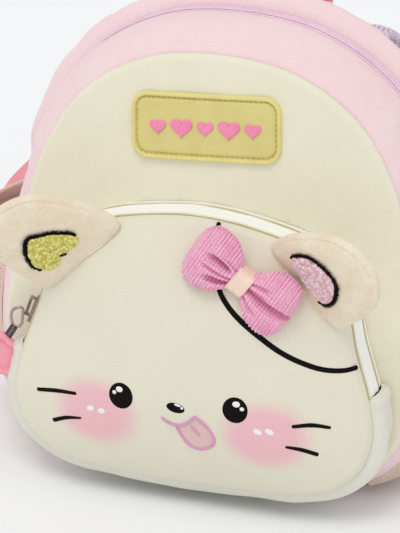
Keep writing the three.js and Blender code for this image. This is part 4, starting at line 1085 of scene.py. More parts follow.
def band_on_face(name, points, width, finish, lift=0.06, thick=0.14, count=220, across=7, bulge=0.0):
    """A strip along a curve on the pocket's face with round ends, raised to a cord by its bulge."""
    path = Path(points)
    t = np.linspace(0, 1, count)
    p, h = path.at(t), path.heading(t)
    side = np.stack([-h[:, 1], h[:, 0]], -1)
    w = np.linspace(-1, 1, across)
    ends = np.sqrt(np.clip(1 - (1 - np.minimum(1, np.minimum(t, 1 - t) * path.length / 0.8)) ** 2, 0.01, 1))
    half = np.interp(t, np.linspace(0, 1, len(width)), width) / 2 * ends
    grid = p[None] + side[None] * (w[:, None] * half)[..., None]
    x, z = grid[..., 0], grid[..., 1]
    y = face_surface(x, z) - lift
    top = y - thick - bulge * np.sqrt(np.clip(1 - w[:, None] ** 2, 0, 1))
    return shell(name, stack(x, top, z), stack(x, y, z), finish, None, slot="cream_neoprene")


HEAD_LINE = [
    (11.0, 164.4), (11.4, 158), (13.8, 144), (17.5, 132.8), (22.7, 126.0), (29.1, 120.1), (35.2, 115.4),
    (41.7, 110.6), (48.6, 105.8), (56.3, 101.4), (63.9, 98.0), (71.4, 95.4), (78.7, 94.3), (84.6, 94.5),
    (89.6, 95.8),
]
band_on_face("head_line", HEAD_LINE, [2.3, 2.6, 2.9, 2.7, 2.5], black_print)
for i, (line, width) in enumerate(WHISKERS):
    band_on_face(f"whisker_{i + 1}", line, width, black_print, count=90)

# %% Smile and tongue
SMILE = [
    (-10.2, 59.4), (-7.8, 57.6), (-4.6, 56.3), (-1.4, 55.8), (1.9, 56.9), (4.6, 58.9), (6.8, 61.1),
    (8.6, 62.9),
]
TONGUE = [
    (-1.9, 55.3), (-0.6, 52.4), (1.3, 49.0), (3.1, 46.2), (5.6, 44.0), (9.1, 42.9), (12.4, 43.2),
    (15.6, 44.7), (17.9, 47.3), (18.5, 50.4), (17.5, 53.5), (15.4, 57.0), (13.2, 59.4), (10.9, 61.2),
    (8.6, 62.9),
]
tongue_side = Path(TONGUE).at(np.linspace(0, 1, 60))
tongue_top = Path(SMILE[3:]).at(np.linspace(1, 0, 24))[1:-1]
films("tongue", [np.vstack([tongue_side, tongue_top])], tongue_thread, lift=0.15)
band_on_face("tongue_edge", TONGUE, [1.6, 1.8, 1.7, 1.5], pink_thread, lift=0.1, bulge=0.7, across=11)
band_on_face("tongue_line", [(6.0, 57.2), (8.3, 54.6), (10.8, 51.4)], [1.3, 1.5, 0.9], pink_thread,
             lift=0.15, bulge=0.6, across=11)
band_on_face("smile", SMILE, [1.3, 1.6, 1.8, 1.7, 1.5], pink_thread, lift=0.12, bulge=0.8, across=11)

# %% [markdown]
# ## The ears
#
# An ear is two plush sides sewn together and lightly stuffed. It is drawn flat first, in shares
# along its root and out from it, then raised to a pillow and leaned forward over the face. The
# flat drawing keeps the fleece patch and its border in the right place whatever the lean.

# %% Ears
EAR_LENGTH, EAR_THICK, EAR_LEAN, EAR_HIGH, EAR_LOW, EAR_SINK = 53.0, 10.0, 29.0, 0.96, 0.68, 5.0
ROOT_SHARE = {-1: 0.97, 1: 0.93}
EAR_EDGE = [
    (0, -0.06), (-0.03, 0.2), (0.05, 0.5), (0.18, 0.77), (0.34, 0.93), (0.53, 1), (0.69, 0.99), (0.86, 0.88),
    (0.98, 0.69), (1.03, 0.42), (1.02, 0.15), (0.98, -0.06), (0.5, -0.08),
]
ear_edge = Path(EAR_EDGE, closed=True)
ear_low, ear_high = ear_edge.points.min(0), ear_edge.points.max(0)
ear_middle = (ear_low + ear_high) / 2
ear_share = outness(ear_edge, ear_middle)


def ear_place(side):
    """Gives the function from shares along and out of the root, and a height, to a place."""
    ends = []
    for rise in (EAR_HIGH, EAR_LOW):
        share = rows_down(pocket, POCKET_LIFT + rise * POCKET_HEIGHT)
        e = pocket.at(share if side < 0 else 1 - share)
        ends.append(np.array([e[0], 0, e[1]]))
    along = ends[1] - ends[0]
    length = np.linalg.norm(along)
    along = along / length
    length = length * ROOT_SHARE[side]
    lean = np.radians(EAR_LEAN)
    upwards = np.array([-along[2] * side, 0, along[0] * side])
    out = upwards * np.cos(lean) + [0, -np.sin(lean), 0]
    facing = np.array([0, -np.cos(lean), 0]) - upwards * np.sin(lean)

    def place(a, o, height):
        """The root's place at a share, plus the way out, plus the height off the middle sheet."""
        root = ends[0] + a[..., None] * length * along
        x, z = root[..., 0], root[..., 2]
        y = pocket_front(x, z) - EAR_THICK / 2 + EAR_SINK * arch(np.abs(2 * a - 1), 2)
        y = np.minimum(y, pocket_seam(z) - EAR_THICK / 2)
        return stack(x, y, z) + o[..., None] * EAR_LENGTH * out + np.asarray(height)[..., None] * facing

    return place


def pillow(share):
    """The height of a stuffed pillow: full in the middle and thin at its seam."""
    return 0.12 + 0.88 * np.sqrt(arch(share, 3))


def ear_front(a, o):
    """The height of an ear's face over its middle sheet: a pillow with a seam just inside its rim."""
    s = ear_share(a, o)
    seam = -0.6 * np.exp(-(((s - 0.9) / 0.03) ** 2)) * ease(0.1, 0.4, o)
    soft = 0.35 * waves(51, a * 60, o * 53, scale=26) * (1 - np.minimum(1, s) ** 4)
    return EAR_THICK / 2 * pillow(s) * 1.08 + seam + soft


def on_face(points, lift=0.2):
    """Keeps points that lie over the pocket's face in front of it."""
    x, y, z = points[..., 0], points[..., 1], points[..., 2]
    inside = pocket_share(x, z) < 1.03
    limit = pocket_front(x, z) - lift
    return stack(x, np.where(inside, np.minimum(y, limit), y), z)


def curls(a, b, size, seed, reach):
    """A bed of small round curls: the highest of many domes at scattered places."""
    dice = np.random.default_rng(seed)
    low, high = (a.min(), b.min()), (a.max(), b.max())
    count = int((high[0] - low[0]) * (high[1] - low[1]) / size**2 * 1.6)
    spots = dice.uniform(low, high, (count, 2))
    best = np.zeros(a.shape)
    for spot, radius in zip(spots, dice.uniform(0.7, 1.25, count) * size):
        d2 = ((a - spot[0]) ** 2 + (b - spot[1]) ** 2) / radius**2
        best = np.maximum(best, np.sqrt(np.clip(1 - d2, 0, 1)) * radius)
    return best * reach


# %% [markdown]
# In each ear lies a patch of fleece with a black embroidered border along one side and a small
# notch. The border is made of many short threads that lean outwards, a little at random, as
# the real stitches do in long pile. The curls are the tops of many small domes.

# %% Outlines of the patches, their borders and notches
PATCHES = {
    -1: [(0.67, 0.63), (0.58, 0.58), (0.48, 0.51), (0.41, 0.40), (0.37, 0.30), (0.40, 0.21), (0.49, 0.19),
         (0.56, 0.22), (0.62, 0.24), (0.71, 0.15), (0.82, 0.16), (0.87, 0.24), (0.89, 0.32), (0.84, 0.47),
         (0.76, 0.57)],
    1: [(0.21, 0.21), (0.25, 0.36), (0.31, 0.46), (0.40, 0.51), (0.50, 0.55), (0.60, 0.54), (0.70, 0.43),
        (0.76, 0.30), (0.76, 0.17), (0.68, 0.10), (0.59, 0.09), (0.50, 0.10), (0.39, 0.12), (0.29, 0.14)],
}
BORDERS = {
    -1: [(0.365, 0.285), (0.385, 0.37), (0.41, 0.42), (0.48, 0.52), (0.58, 0.595), (0.67, 0.645),
         (0.77, 0.58), (0.85, 0.475), (0.895, 0.33), (0.88, 0.235)],
    1: [(0.20, 0.20), (0.24, 0.36), (0.30, 0.47), (0.40, 0.525), (0.50, 0.565), (0.61, 0.55), (0.71, 0.44),
        (0.775, 0.30), (0.77, 0.165), (0.70, 0.09)],
}
NOTCHES = {-1: [(0.66, 0.27), (0.62, 0.215), (0.57, 0.20)], 1: [(0.46, 0.17), (0.50, 0.12), (0.53, 0.115)]}
MOVES = {-1: [-0.075, -0.02], 1: [-0.045, 0.025]}
EAR_ROOT, PATCH_REACH = 59.0, 49.0
PATCH_SCALE = PATCH_REACH / EAR_LENGTH
print("points of the patches:", [len(rows) for rows in PATCHES.values()])

# %% Ears with their fleece and stitches


def stitches(name, middles, headings, length, radius, rise, finish, place, slot=None):
    """Short rounded threads: each is a spindle of 5 rings of 6 points, all made in one array."""
    t = np.linspace(-1, 1, 5)
    fat = np.sqrt(np.clip(1 - (t * 0.92) ** 2, 0, 1))
    angle = np.linspace(0, 2 * np.pi, 6, endpoint=False)
    side = np.stack([-headings[:, 1], headings[:, 0]], -1)
    half = np.broadcast_to(np.asarray(length, float).reshape(-1, 1), (len(middles), 1)) / 2
    rise = np.broadcast_to(np.asarray(rise, float).reshape(-1, 1), (len(middles), 1))
    plan = (middles[:, None, None] + headings[:, None, None] * (t[None] * half)[:, :, None, None]
            + side[:, None, None] * (fat[None, :, None] * np.cos(angle) * radius)[..., None])
    height = rise[:, :, None] + fat[None, :, None] * np.sin(angle) * radius * 0.8
    points = place(plan, height).reshape(-1, 3)
    one = quads(5, 6, True)
    caps = np.array([[5, 4, 3, 2], [5, 2, 1, 0], [24, 25, 26, 27], [24, 27, 28, 29]])
    block = np.vstack([one, caps])
    faces = (block[None] + 30 * np.arange(len(middles))[:, None, None]).reshape(-1, 4)
    uv = np.zeros((len(faces), 4, 2))
    return build(name, points, list(faces), list(uv), finish, None, slot=slot)


for side, name, wool in ((-1, "left", yellow_fleece), (1, "right", pink_fleece)):
    place = ear_place(side)
    shares = edge_shares(56, 1.9)
    a, o = rings_of(ear_edge, 320, shares, ear_middle)
    front = on_face(place(a, o, ear_front(a, o)), 0.4)
    front = front + 0.12 * waves(57, *np.moveaxis(front, -1, 0), scale=2.5)[..., None] * [0, 1, 0]
    behind = on_face(place(a, o, -EAR_THICK / 2 * pillow(ear_share(a, o))), 0.1)
    disc(f"ear_{name}_plush", front, behind, ear_plush, [f"ear_{name}"], slot="plush")
    patch = Path((np.array(PATCHES[side]) + MOVES[side]) * [1, PATCH_SCALE], closed=True)
    middle = (patch.points.min(0) + patch.points.max(0)) / 2
    shares = edge_shares(58, 1.2)
    a, o = rings_of(patch, 230, shares, middle)
    rise = curls(a * EAR_ROOT, o * EAR_LENGTH, 1.5, 61 + side, 0.85) + 0.7
    rise = rise * (1 - shares[:, None] ** 8 * 0.75) + 0.5
    front = place(a, o, ear_front(a, o) + rise)
    behind = place(a, o, ear_front(a, o) + 0.1)
    disc(f"ear_{name}_fleece", front, behind, wool, [f"ear_{name}_inner"],
         slot="yellow_fleece" if side < 0 else "pink_fleece")
    dice = np.random.default_rng(71 + side)

    def on_ear(plan, height):
        """A place on this ear's face from millimetres along its root and out of it."""
        a, o = plan[..., 0] / EAR_ROOT, plan[..., 1] / EAR_LENGTH
        return place(a, o, ear_front(a, o) + height)

    for part, points, wide in (("border", BORDERS[side], 2.7), ("notch", NOTCHES[side], 1.5)):
        line = Path((np.array(points) + MOVES[side]) * [EAR_ROOT, PATCH_REACH])
        count = int(line.length / 0.14)
        t = np.linspace(0, 1, count)
        p, h = line.at(t), line.heading(t)
        outward = np.stack([-h[:, 1], h[:, 0]], -1)
        ends = np.sqrt(np.clip(np.minimum(t, 1 - t) * line.length / 1.6, 0.1, 1))[:, None]
        p = p + outward * dice.normal(0, 0.4, (count, 1)) * ends
        lean = outward + h * dice.normal(0.25, 0.22, (count, 1))
        lean = lean / np.linalg.norm(lean, axis=1, keepdims=True)
        length = wide * ends * dice.uniform(0.6, 1.4, (count, 1))
        rise = 0.75 + 0.5 * dice.random((count, 1))
        stitches(f"ear_{name}_{part}", p, lean, length, 0.24, rise, black_thread, on_ear, slot="plush")

# %% [markdown]
# ## The bow
#
# Each lobe is a tube of waffle knit that swells from the knot, is pinched by a deep fold, and
# closes in a round end. Its ribs are rows of small waves round the tube that meet at the knot.
# A simulated cushion would crease by chance, so each fold is listed: its place across the
# lobe, its width and depth, and where it starts and stops on the way out from the knot.

# %% Bow
BOW_X, BOW_Z, BOW_LIFT, BOW_TURN = 29.55, 140.9, 6.0, 31.0
LOBE_LENGTH, LOBE_WIDTH, LOBE_THICK, KNOT_LENGTH, KNOT_WIDTH, KNOT_THICK = 26.0, 36.0, 18.0, 10.0, 15.0, 13.5
bow_c, bow_s = np.cos(np.radians(BOW_TURN)), np.sin(np.radians(BOW_TURN))
bow_middle = np.array([BOW_X, float(pocket_front(BOW_X, BOW_Z)) - BOW_LIFT, BOW_Z])


def on_bow(x, y, z):
    """A place on the bow, turned in the plane of the face about the knot."""
    return bow_middle + stack(x * bow_c + z * bow_s, y, -x * bow_s + z * bow_c)


# Each row: the share of the way out from the knot, and the shares of width and thickness there.
LOBE_ROWS = np.array([
    (0, 0.42, 0.5), (0.12, 0.62, 0.78), (0.3, 0.87, 1), (0.5, 0.98, 1.08), (0.7, 1, 1), (0.87, 0.9, 0.8),
    (0.96, 0.7, 0.5), (1.01, 0.42, 0.2),
])
RIBS, RIB_RISE, KNOT_INSIDE = 60, 0.2, 1.5
# The profile is followed as a curve in space, in which the way out counts for more.
profile_weights = np.array([1.0, 0.6, 0.6])
lobe_profile = Path(LOBE_ROWS * profile_weights)
FOLDS = {
    -1: [(0.24, 0.1, 1.0, 0.1, 0.66), (-0.4, 0.11, 1.0, -0.1, 0.5), (-0.08, 0.07, 0.4, -0.1, 0.7),
         (0.5, 0.06, 0.3, -0.1, 0.4)],
    1: [(-0.04, 0.13, 1.0, -0.1, 1.1), (0.42, 0.08, 0.45, -0.1, 0.5), (-0.48, 0.08, 0.45, -0.1, 0.45),
        (0.18, 0.05, 0.25, -0.1, 0.5)],
}
for side, name in ((-1, "left"), (1, "right")):
    t = np.linspace(0, 1, 130)
    away, half, thick = (lobe_profile.at(t) / profile_weights).T[:, :, None]
    angle = np.linspace(0, 2 * np.pi, 300, endpoint=False)[None]
    across, deep = np.cos(angle), np.sin(angle)
    fold = 0
    for middle, width, depth, start, stop in FOLDS[side]:
        reach = ease(start - 0.05, start + 0.15, away) * ease(stop + 0.12, stop - 0.2, away)
        fold = fold + depth * reach * np.exp(-(((across - middle) / width) ** 2))
    pinch = np.where(deep > 0, 1 - np.minimum(0.97, fold), 1)
    ribs = RIB_RISE * np.cos(RIBS * angle + 1.2 * np.sin(5 * away))
    ribs = ribs * ease(1.0, 0.9, away) * (0.5 + 0.5 * half)
    cross = RIB_RISE * np.cos(2 * np.pi * away * LOBE_LENGTH / WAFFLE_PITCH + 0.6 * np.sin(3 * angle))
    y = -deep * pinch * thick * LOBE_THICK / 2
    z = across * half * LOBE_WIDTH / 2
    grow = 1 + (ribs + cross) / 9
    x = side * (KNOT_LENGTH / 2 - KNOT_INSIDE + away * (LOBE_LENGTH + KNOT_INSIDE))
    points = on_face(on_bow(x, y * grow, z * grow), 0.3)
    tube(f"bow_lobe_{name}_knit", points, waffle, [f"bow_lobe_{name}"], slot="rib_knit")

# %% [markdown]
# The knot is a band of satin ribbon round the middle: a nearly square tube that is a little
# narrower at its waist, with a faint crease along each edge.

# %% Knot of the bow
u = np.linspace(0, 1, 180, endpoint=False)[None]
v = np.linspace(-1, 1, 40)[:, None]
angle = 2 * np.pi * u
power = 2 / 3.4
wide = np.sign(np.cos(angle)) * np.abs(np.cos(angle)) ** power * KNOT_WIDTH / 2
deep = np.sign(np.sin(angle)) * np.abs(np.sin(angle)) ** power * KNOT_THICK / 2
waist = 1 - 0.07 * (1 - v**2) - 0.1 * np.clip(np.abs(v) - 0.93, 0, 1) / 0.07
crease = 1 + 0.012 * np.cos(2 * np.pi * v * 1.3 + 3 * np.sin(angle)) + groove(np.abs(v) - 0.8, 0.03, 0.05)
x = v * KNOT_LENGTH / 2 + 0.5 * np.sin(angle * 2)
knot = on_face(on_bow(x, -deep * waist * crease, wide * waist * crease), 0.3)
tube("bow_knot_ribbon", knot, ribbon, ["bow_knot"], slot="ribbon")

# %% [markdown]
# ## The badge
#
# A soft moulded plate is stitched on above the pocket. It has a rounded rim, painted lighter
# than the field as a highlight, a groove with the thread in it, and a flatter field with raised
# hearts. A ring of the plate is a rounded rectangle drawn in by a distance, so that the rim keeps
# its width all round.

# %% Badge
BADGE_WIDTH, BADGE_HEIGHT, BADGE_CORNER = 81.5, 35.5, 9.0
BADGE_X, BADGE_Z, BADGE_TURN = -5.4, 204.7, 4.5


def rounded_ring(inset, count):
    """A rectangle with round corners, drawn in by an inset, as points evenly spaced along it."""
    w, h = BADGE_WIDTH / 2 - inset, BADGE_HEIGHT / 2 - inset
    r = max(0.8, BADGE_CORNER - inset)
    angle = np.linspace(0, np.pi / 2, 24)
    arc_x, arc_z = r * np.cos(angle), r * np.sin(angle)
    corner = np.stack([w - r + arc_x, h - r + arc_z], -1)
    quarter = [corner, (corner * [-1, 1])[::-1], corner * [-1, -1], (corner * [1, -1])[::-1]]
    loop = np.vstack(quarter + [corner[:1]])
    steps = np.concatenate([[0], np.cumsum(np.linalg.norm(np.diff(loop, axis=0), axis=1))])
    at = np.linspace(0, steps[-1], count, endpoint=False)
    return np.stack([np.interp(at, steps, loop[:, 0]), np.interp(at, steps, loop[:, 1])], -1)


def on_badge(p, height):
    """A place on the badge from its own x and z, turned, at a height over the panel."""
    c, s = np.cos(np.radians(BADGE_TURN)), np.sin(np.radians(BADGE_TURN))
    x = BADGE_X + p[..., 0] * c - p[..., 1] * s
    z = BADGE_Z + p[..., 0] * s + p[..., 1] * c
    return stack(x, panel_front(x, z) - SEAM_GAP - height, z)


# Each row: how far a ring is drawn in from the edge, and its height, from the field outwards.
BADGE_ROWS = np.array([
    (16.5, 1.9), (12, 1.9), (8, 1.85), (5.6, 1.8), (4.3, 1.75), (3.9, 1.7), (3.5, 1.25), (3.1, 1.05),
    (2.7, 1.05), (2.35, 1.2), (2.1, 1.9), (1.8, 2.45), (1.4, 2.65), (1.0, 2.7), (0.6, 2.6), (0.3, 2.3),
    (0.1, 1.8), (0, 1.0),
])
FIELD_ROWS, RING_POINTS, SEAM_INSET, SEAM_STITCHES = 6, 260, 2.95, 72
heights = BADGE_ROWS[:, 1:]
rings = np.stack([rounded_ring(inset, RING_POINTS) for inset in BADGE_ROWS[:, 0]])
disc("badge_plate", on_badge(rings, heights), on_badge(rings, 0 * heights), painted_highlight_rim_rubber, ["badge"],
     slot="soft_badge")
rings, heights = rings[:FIELD_ROWS], heights[:FIELD_ROWS]
front = on_badge(rings, heights + 0.22 * np.array([1, 1, 1, 1, 1, 0.3])[:, None])
disc("badge_field", front, on_badge(rings, heights - 0.4), badge_field_rubber, None, slot="soft_badge")

seam_ring = rounded_ring(SEAM_INSET, SEAM_STITCHES)
ahead = np.roll(seam_ring, -1, 0) - np.roll(seam_ring, 1, 0)
ahead = ahead / np.linalg.norm(ahead, axis=1, keepdims=True)
stitches("badge_stitches", seam_ring, ahead, 2.3, 0.42, 1.25, badge_thread, on_badge, slot="soft_badge")


# %% [markdown]
# Five small hearts stand in a row on the field, two sizes in turn. Each is a plate whose outer
# rings fall off steeply, which gives a moulded, rounded edge.

# %% Hearts
HEARTS, HEART_SPACING, HEART_SMALL, HEART_LARGE = 5, 12.9, 9.0, 12.0


def heart_loop(size, count=90):
    """Two lobes over a point: the cube of a sine across, and a sum of four cosines up."""
    t = np.linspace(0, 2 * np.pi, count, endpoint=False)
    z = (13 * np.cos(t) - 5 * np.cos(2 * t) - 2 * np.cos(3 * t) - np.cos(4 * t)) / 17
    return np.stack([np.sin(t) ** 3, z], -1) * size / 2


for i in range(HEARTS):
    loop = heart_loop(HEART_SMALL if i % 2 == 0 else HEART_LARGE)
    shares = np.array([0.2, 0.5, 0.75, 0.88, 0.95, 0.99, 1.0])
    plan = loop[None] * shares[:, None, None] + [(i - (HEARTS - 1) / 2) * HEART_SPACING, 0]
    height = 2.1 + np.array([1.2, 1.2, 1.15, 1.05, 0.85, 0.5, 0.1])[:, None]
    disc(f"heart_{i + 1}_rubber", on_badge(plan, height), on_badge(plan, 0 * height + 1.7), heart_rubber,
         [f"badge_heart_{i + 1}"], slot="soft_pink")

# %% [markdown]
# ## The side pockets
#
# One layer of mesh is held along both sides of the gusset and bags out between them. Its rim
# dips in the middle and is bound with a folded strip of knit. Both are surfaces over the
# gusset's own, lifted off it by a bulge, so that their ends lie on the cloth without a gap.

# %% Side pockets
SIDE_MESH, SIDE_BULGE, SIDE_HIGH, SIDE_DIP, SIDE_LOW = 1.5, 18.0, 127.0, 11.0, 16.0
SIDE_FRONT, SIDE_BACK, SIDE_SEAT = 0.15, 0.9, 0.8
BINDING_HEIGHT, BINDING_THICK = 7.0, 2.6
side_along = np.linspace(0.02, 0.48, 400)
side_height = panel.at(side_along)[:, 1]


def side_point(side, across, rise, lift):
    """A place on a side pocket: between two lines on the gusset, bagging out half way."""
    belly = np.sin(np.pi * across)
    bulge = SIDE_BULGE * belly**0.6 * np.minimum(1, rise * 1.5) ** 0.7
    bulge = bulge - 0.7 * ease(0.05, 0.0, np.minimum(across, 1 - across))
    rim = SIDE_HIGH - SIDE_DIP * belly**0.7
    z = np.maximum(mix(SIDE_LOW, rim, rise), SIDE_LOW)
    along = np.interp(z, side_height, side_along)
    return gusset_point(along if side < 0 else 1 - along, mix(SIDE_FRONT, SIDE_BACK, across), bulge + lift)


rim_span = SIDE_HIGH - SIDE_DIP - SIDE_LOW
for side, name in ((-1, "left"), (1, "right")):
    across, rise = np.meshgrid(np.linspace(0, 1, 110), np.linspace(0, 1, 90))
    sag = 0.6 * waves(81 + side, across * 64, rise * 110, scale=34)
    sag = sag * np.sin(np.pi * across) * ease(0, 0.2, rise)
    gather = 0.5 * np.sin(across * 60) * ease(0.14, 0.0, rise)
    outer = side_point(side, across, rise, SIDE_SEAT + SIDE_MESH + sag + gather)
    inner = side_point(side, across, rise, SIDE_SEAT + sag + gather)
    shell(f"side_pocket_{name}_mesh", outer, inner, pocket_mesh, [f"side_pocket_{name}"], slot="mesh_fabric")
    t = np.linspace(0, 1, 160)[None]
    angle = np.linspace(0, 2 * np.pi, 28, endpoint=False)[:, None]
    flat = np.sign(np.cos(angle)) * np.abs(np.cos(angle)) ** 0.5
    fat = np.sign(np.sin(angle)) * np.abs(np.sin(angle)) ** 0.6
    rise = 1 + (0.5 + 0.5 * flat) * BINDING_HEIGHT / rim_span + 0 * t
    lift = SIDE_SEAT + BINDING_THICK / 2 * (1 + fat) + 0.12 * np.cos(2 * np.pi * t * 40) + 0 * rise
    ring = side_point(side, t + 0 * angle, rise, lift)
    tube(f"side_binding_{name}_cloth", np.swapaxes(ring, 0, 1), binding_cloth, [f"side_binding_{name}"],
         slot="mesh_fabric")

# %% [markdown]
# ## Straps and handle
#
# A band is a flat section carried along a curve. At each place it needs three directions: along
# the curve, across the band and through it. The across direction is given, made square to the
# curve, and turned slowly, as webbing turns when it is pulled round a body.

# %% Bands
STRAP_WIDTH, STRAP_END, STRAP_THICK, WEB_WIDTH, WEB_THICK = 44.0, 34.0, 9.0, 20.0, 1.8


def frames(route, t, across):
    """Places along a curve with their directions across a band and through it."""
    p = route.at(t)
    step = 2e-3
    along = route.at(np.clip(t + step, 0, 1)) - route.at(np.clip(t - step, 0, 1))
    along = along / np.linalg.norm(along, axis=1, keepdims=True)
    wide = across(t)
    wide = wide - along * np.sum(wide * along, 1, keepdims=True)
    wide = wide / np.linalg.norm(wide, axis=1, keepdims=True)
    return p, wide, np.cross(along, wide)


def section(count, power):
    """A flat oval section: powers of cosine and sine, from round to nearly square."""
    angle = np.linspace(0, 2 * np.pi, count, endpoint=False)
    fine = np.linspace(0, 2 * np.pi, 800)
    loop = np.stack([np.sign(np.cos(fine)) * np.abs(np.cos(fine)) ** (2 / power) * 10,
                     np.sign(np.sin(fine)) * np.abs(np.sin(fine)) ** (2 / power)], -1)
    steps = np.concatenate([[0], np.cumsum(np.linalg.norm(np.diff(loop, axis=0), axis=1))])
    at = angle / (2 * np.pi) * steps[-1]
    return np.interp(at, steps, loop[:, 0]) / 10, np.interp(at, steps, loop[:, 1])


def turning(stops):
    """Directions that turn smoothly through evenly spaced stops."""
    stops = np.asarray(stops, float)

    def across(t):
        """A soft blend of the two nearest stops."""
        reach = t * (len(stops) - 1)
        i = np.minimum(len(stops) - 2, reach.astype(int))
        return mix(stops[i], stops[i + 1], ease(0, 1, reach - i)[:, None])

    return across


def band(name, route, steps, width, thick, across, finish, nodes, columns=60, power=6, relief=None, **more):
    """A section carried along a route, scaled by its width and thickness, plus a relief."""
    t = np.linspace(0, 1, steps)
    p, wide, through = frames(route, t, across)
    w, d = section(columns, power)
    extra = relief(t[:, None] * route.length, w[None], d[None]) if relief else 0
    flat = w[None] * (width(t)[:, None] / 2)
    deep = d[None] * (thick(t)[:, None] / 2 + extra)
    rings = p[:, None] + wide[:, None] * flat[..., None] + through[:, None] * deep[..., None]
    return tube(name, rings, finish, nodes, **more)


def back_level(x, z, thick):
    """The depth at which a band of that thickness lies on the padded back."""
    s = np.minimum(1, panel_share(x, z))
    drop = BACK_CROWN * np.clip((s - BACK_FLAT) / (1 - BACK_FLAT), 0, 1) ** 2
    return back_seam + SEAM_GAP + BACK_PAD - drop + 0.4 + thick / 2


def constant(value):
    """The same width or thickness all along."""
    return lambda t: value + 0 * t


# %% [markdown]
# Each strap starts high on the back as a padded band with two sewn channels. Webbing runs on
# from its end, through the adjuster, and back to the foot of the bag. Both hang in a bow, as
# they do when nobody wears the bag, so their routes are a few places that a curve joins.

# %% Straps
# Each row: shares of the panel's half width, of the body's depth behind the back seam, and of
# the panel's height.
PAD_ROUTE = [
    (0.365, 0.22, 0.915), (0.37, 0.36, 0.935), (0.39, 0.5, 0.9), (0.5, 0.6, 0.83), (0.68, 0.56, 0.73),
    (0.86, 0.42, 0.61),
]
WEB_ROUTE = [
    (1.06, 0.41, 0.553), (1.235, 0.4, 0.478), (1.36, 0.37, 0.41), (1.42, 0.3, 0.32), (1.38, 0.22, 0.21),
    (1.2, 0.15, 0.12),
]
PAD_START, WEB_END, WEB_SUNK, WEB_RIDGE = (0.36, 0.86), (0.8, 0.1), 0.4, 2.2


def routed(rows, side):
    """Places of a strap's route on one side of the bag."""
    rows = np.array(rows)
    x, z = side * rows[:, 0] * PANEL_WIDTH / 2, PANEL_LIFT + rows[:, 2] * PANEL_HEIGHT
    return stack(x, back_seam + rows[:, 1] * BODY_DEPTH, z)


def sewn(shares, side, thick, sunk=0.0):
    """The place on the padded back where a band is sewn on."""
    x, z = side * shares[0] * PANEL_WIDTH / 2, PANEL_LIFT + shares[1] * PANEL_HEIGHT
    return np.array([[x, float(back_level(x, z, thick)) - sunk, z]])


def pad_relief(u, w, d):
    """Two sewn channels along the pad, and a soft cushion between."""
    lines = np.exp(-(((np.abs(w) - 0.84) / 0.035) ** 2))
    puff = 0.35 * np.cos(np.pi * w / 2) * (1 + 0.25 * waves(91, u, w * 20, scale=40))
    return puff - lines


def web_relief(u, w, d):
    """Ridges along both flat faces."""
    return 0.16 * np.cos(2 * np.pi * w * WEB_WIDTH / 2 / WEB_RIDGE) * (np.abs(d) > 0.9)


def pad_width(t):
    """The pad narrows evenly."""
    return mix(STRAP_WIDTH, STRAP_END, t)


def pad_thickness(t):
    """Full thickness, falling to half of it in a rounded way at both ends."""
    return STRAP_THICK * (0.5 + 0.5 * np.sqrt(np.clip(8 * np.minimum(t, 1 - t), 0, 1)))


for side, name in ((-1, "left"), (1, "right")):
    pad_points = np.vstack([sewn(PAD_START, side, STRAP_THICK), routed(PAD_ROUTE, side)])
    web_end = sewn(WEB_END, side, WEB_THICK, WEB_SUNK)
    web_points = np.vstack([pad_points[-1:], routed(WEB_ROUTE, side), web_end])
    pad_end, flat_up, edge_up = (0.6, 0, 0.8 * side), (0, -1, 0.6 * side), (0, 0, side)
    band(f"strap_pad_{name}_cloth", Path(pad_points), 260, pad_width, pad_thickness,
         turning([(1, 0, 0), pad_end]), spacer, [f"strap_pad_{name}"], columns=110, power=3.2,
         relief=pad_relief, slot="back_fabric")
    band(f"strap_webbing_{name}_cloth", Path(web_points), 320, constant(WEB_WIDTH), constant(WEB_THICK),
         turning([pad_end, flat_up, edge_up, edge_up]), coral, [f"strap_webbing_{name}"], columns=96, power=9,
         relief=web_relief, slot="webbing")

# %% [markdown]
# The handle is one loop of ribbed webbing, sewn to the back at both feet. It is the same band,
# which lies flat on the back at its feet and turns crosswise on its way over the top.

# %% Handle
HANDLE_WIDTH, HANDLE_THICK, HANDLE_REACH, HANDLE_RISE, HANDLE_FOOT = 25.0, 2.4, 23.0, 30.0, 16.0
HANDLE_RIDGE = 1.8
level_y = float(back_level(HANDLE_REACH, panel_top - HANDLE_FOOT, HANDLE_THICK))
half_loop = [(1, -HANDLE_FOOT), (1, 0), (0.94, 0.5 * HANDLE_RISE), (0.5, 0.94 * HANDLE_RISE)]
loop = [(-reach, rise) for reach, rise in half_loop] + [(0, HANDLE_RISE)] + half_loop[::-1]
handle_route = Path([(reach * HANDLE_REACH, level_y, panel_top + rise) for reach, rise in loop])


def handle_across(t):
    """Across the back at both feet, and front to back over the top."""
    middle = ease(0.16, 0.36, 0.5 - np.abs(t - 0.5))
    return np.stack([1 - middle, middle, 0 * t], -1)


def handle_relief(u, w, d):
    """Ridges along both flat faces."""
    return 0.22 * np.cos(2 * np.pi * w * HANDLE_WIDTH / 2 / HANDLE_RIDGE) * (np.abs(d) > 0.9)


band("handle_webbing", handle_route, 300, constant(HANDLE_WIDTH), constant(HANDLE_THICK), handle_across,
     ribbed, ["handle"], columns=120, power=9, relief=handle_relief, slot="webbing")

# %% [markdown]
# ## Metal and moulded parts
#
# The sliders, the main zip's pull and the adjusters are rigid. Their solids are right in size
# but have hard edges, so each is copied, its loose triangles are merged into flat faces, and
# its edges are rounded by a bevel.

# %% Rounded copies of the hard parts


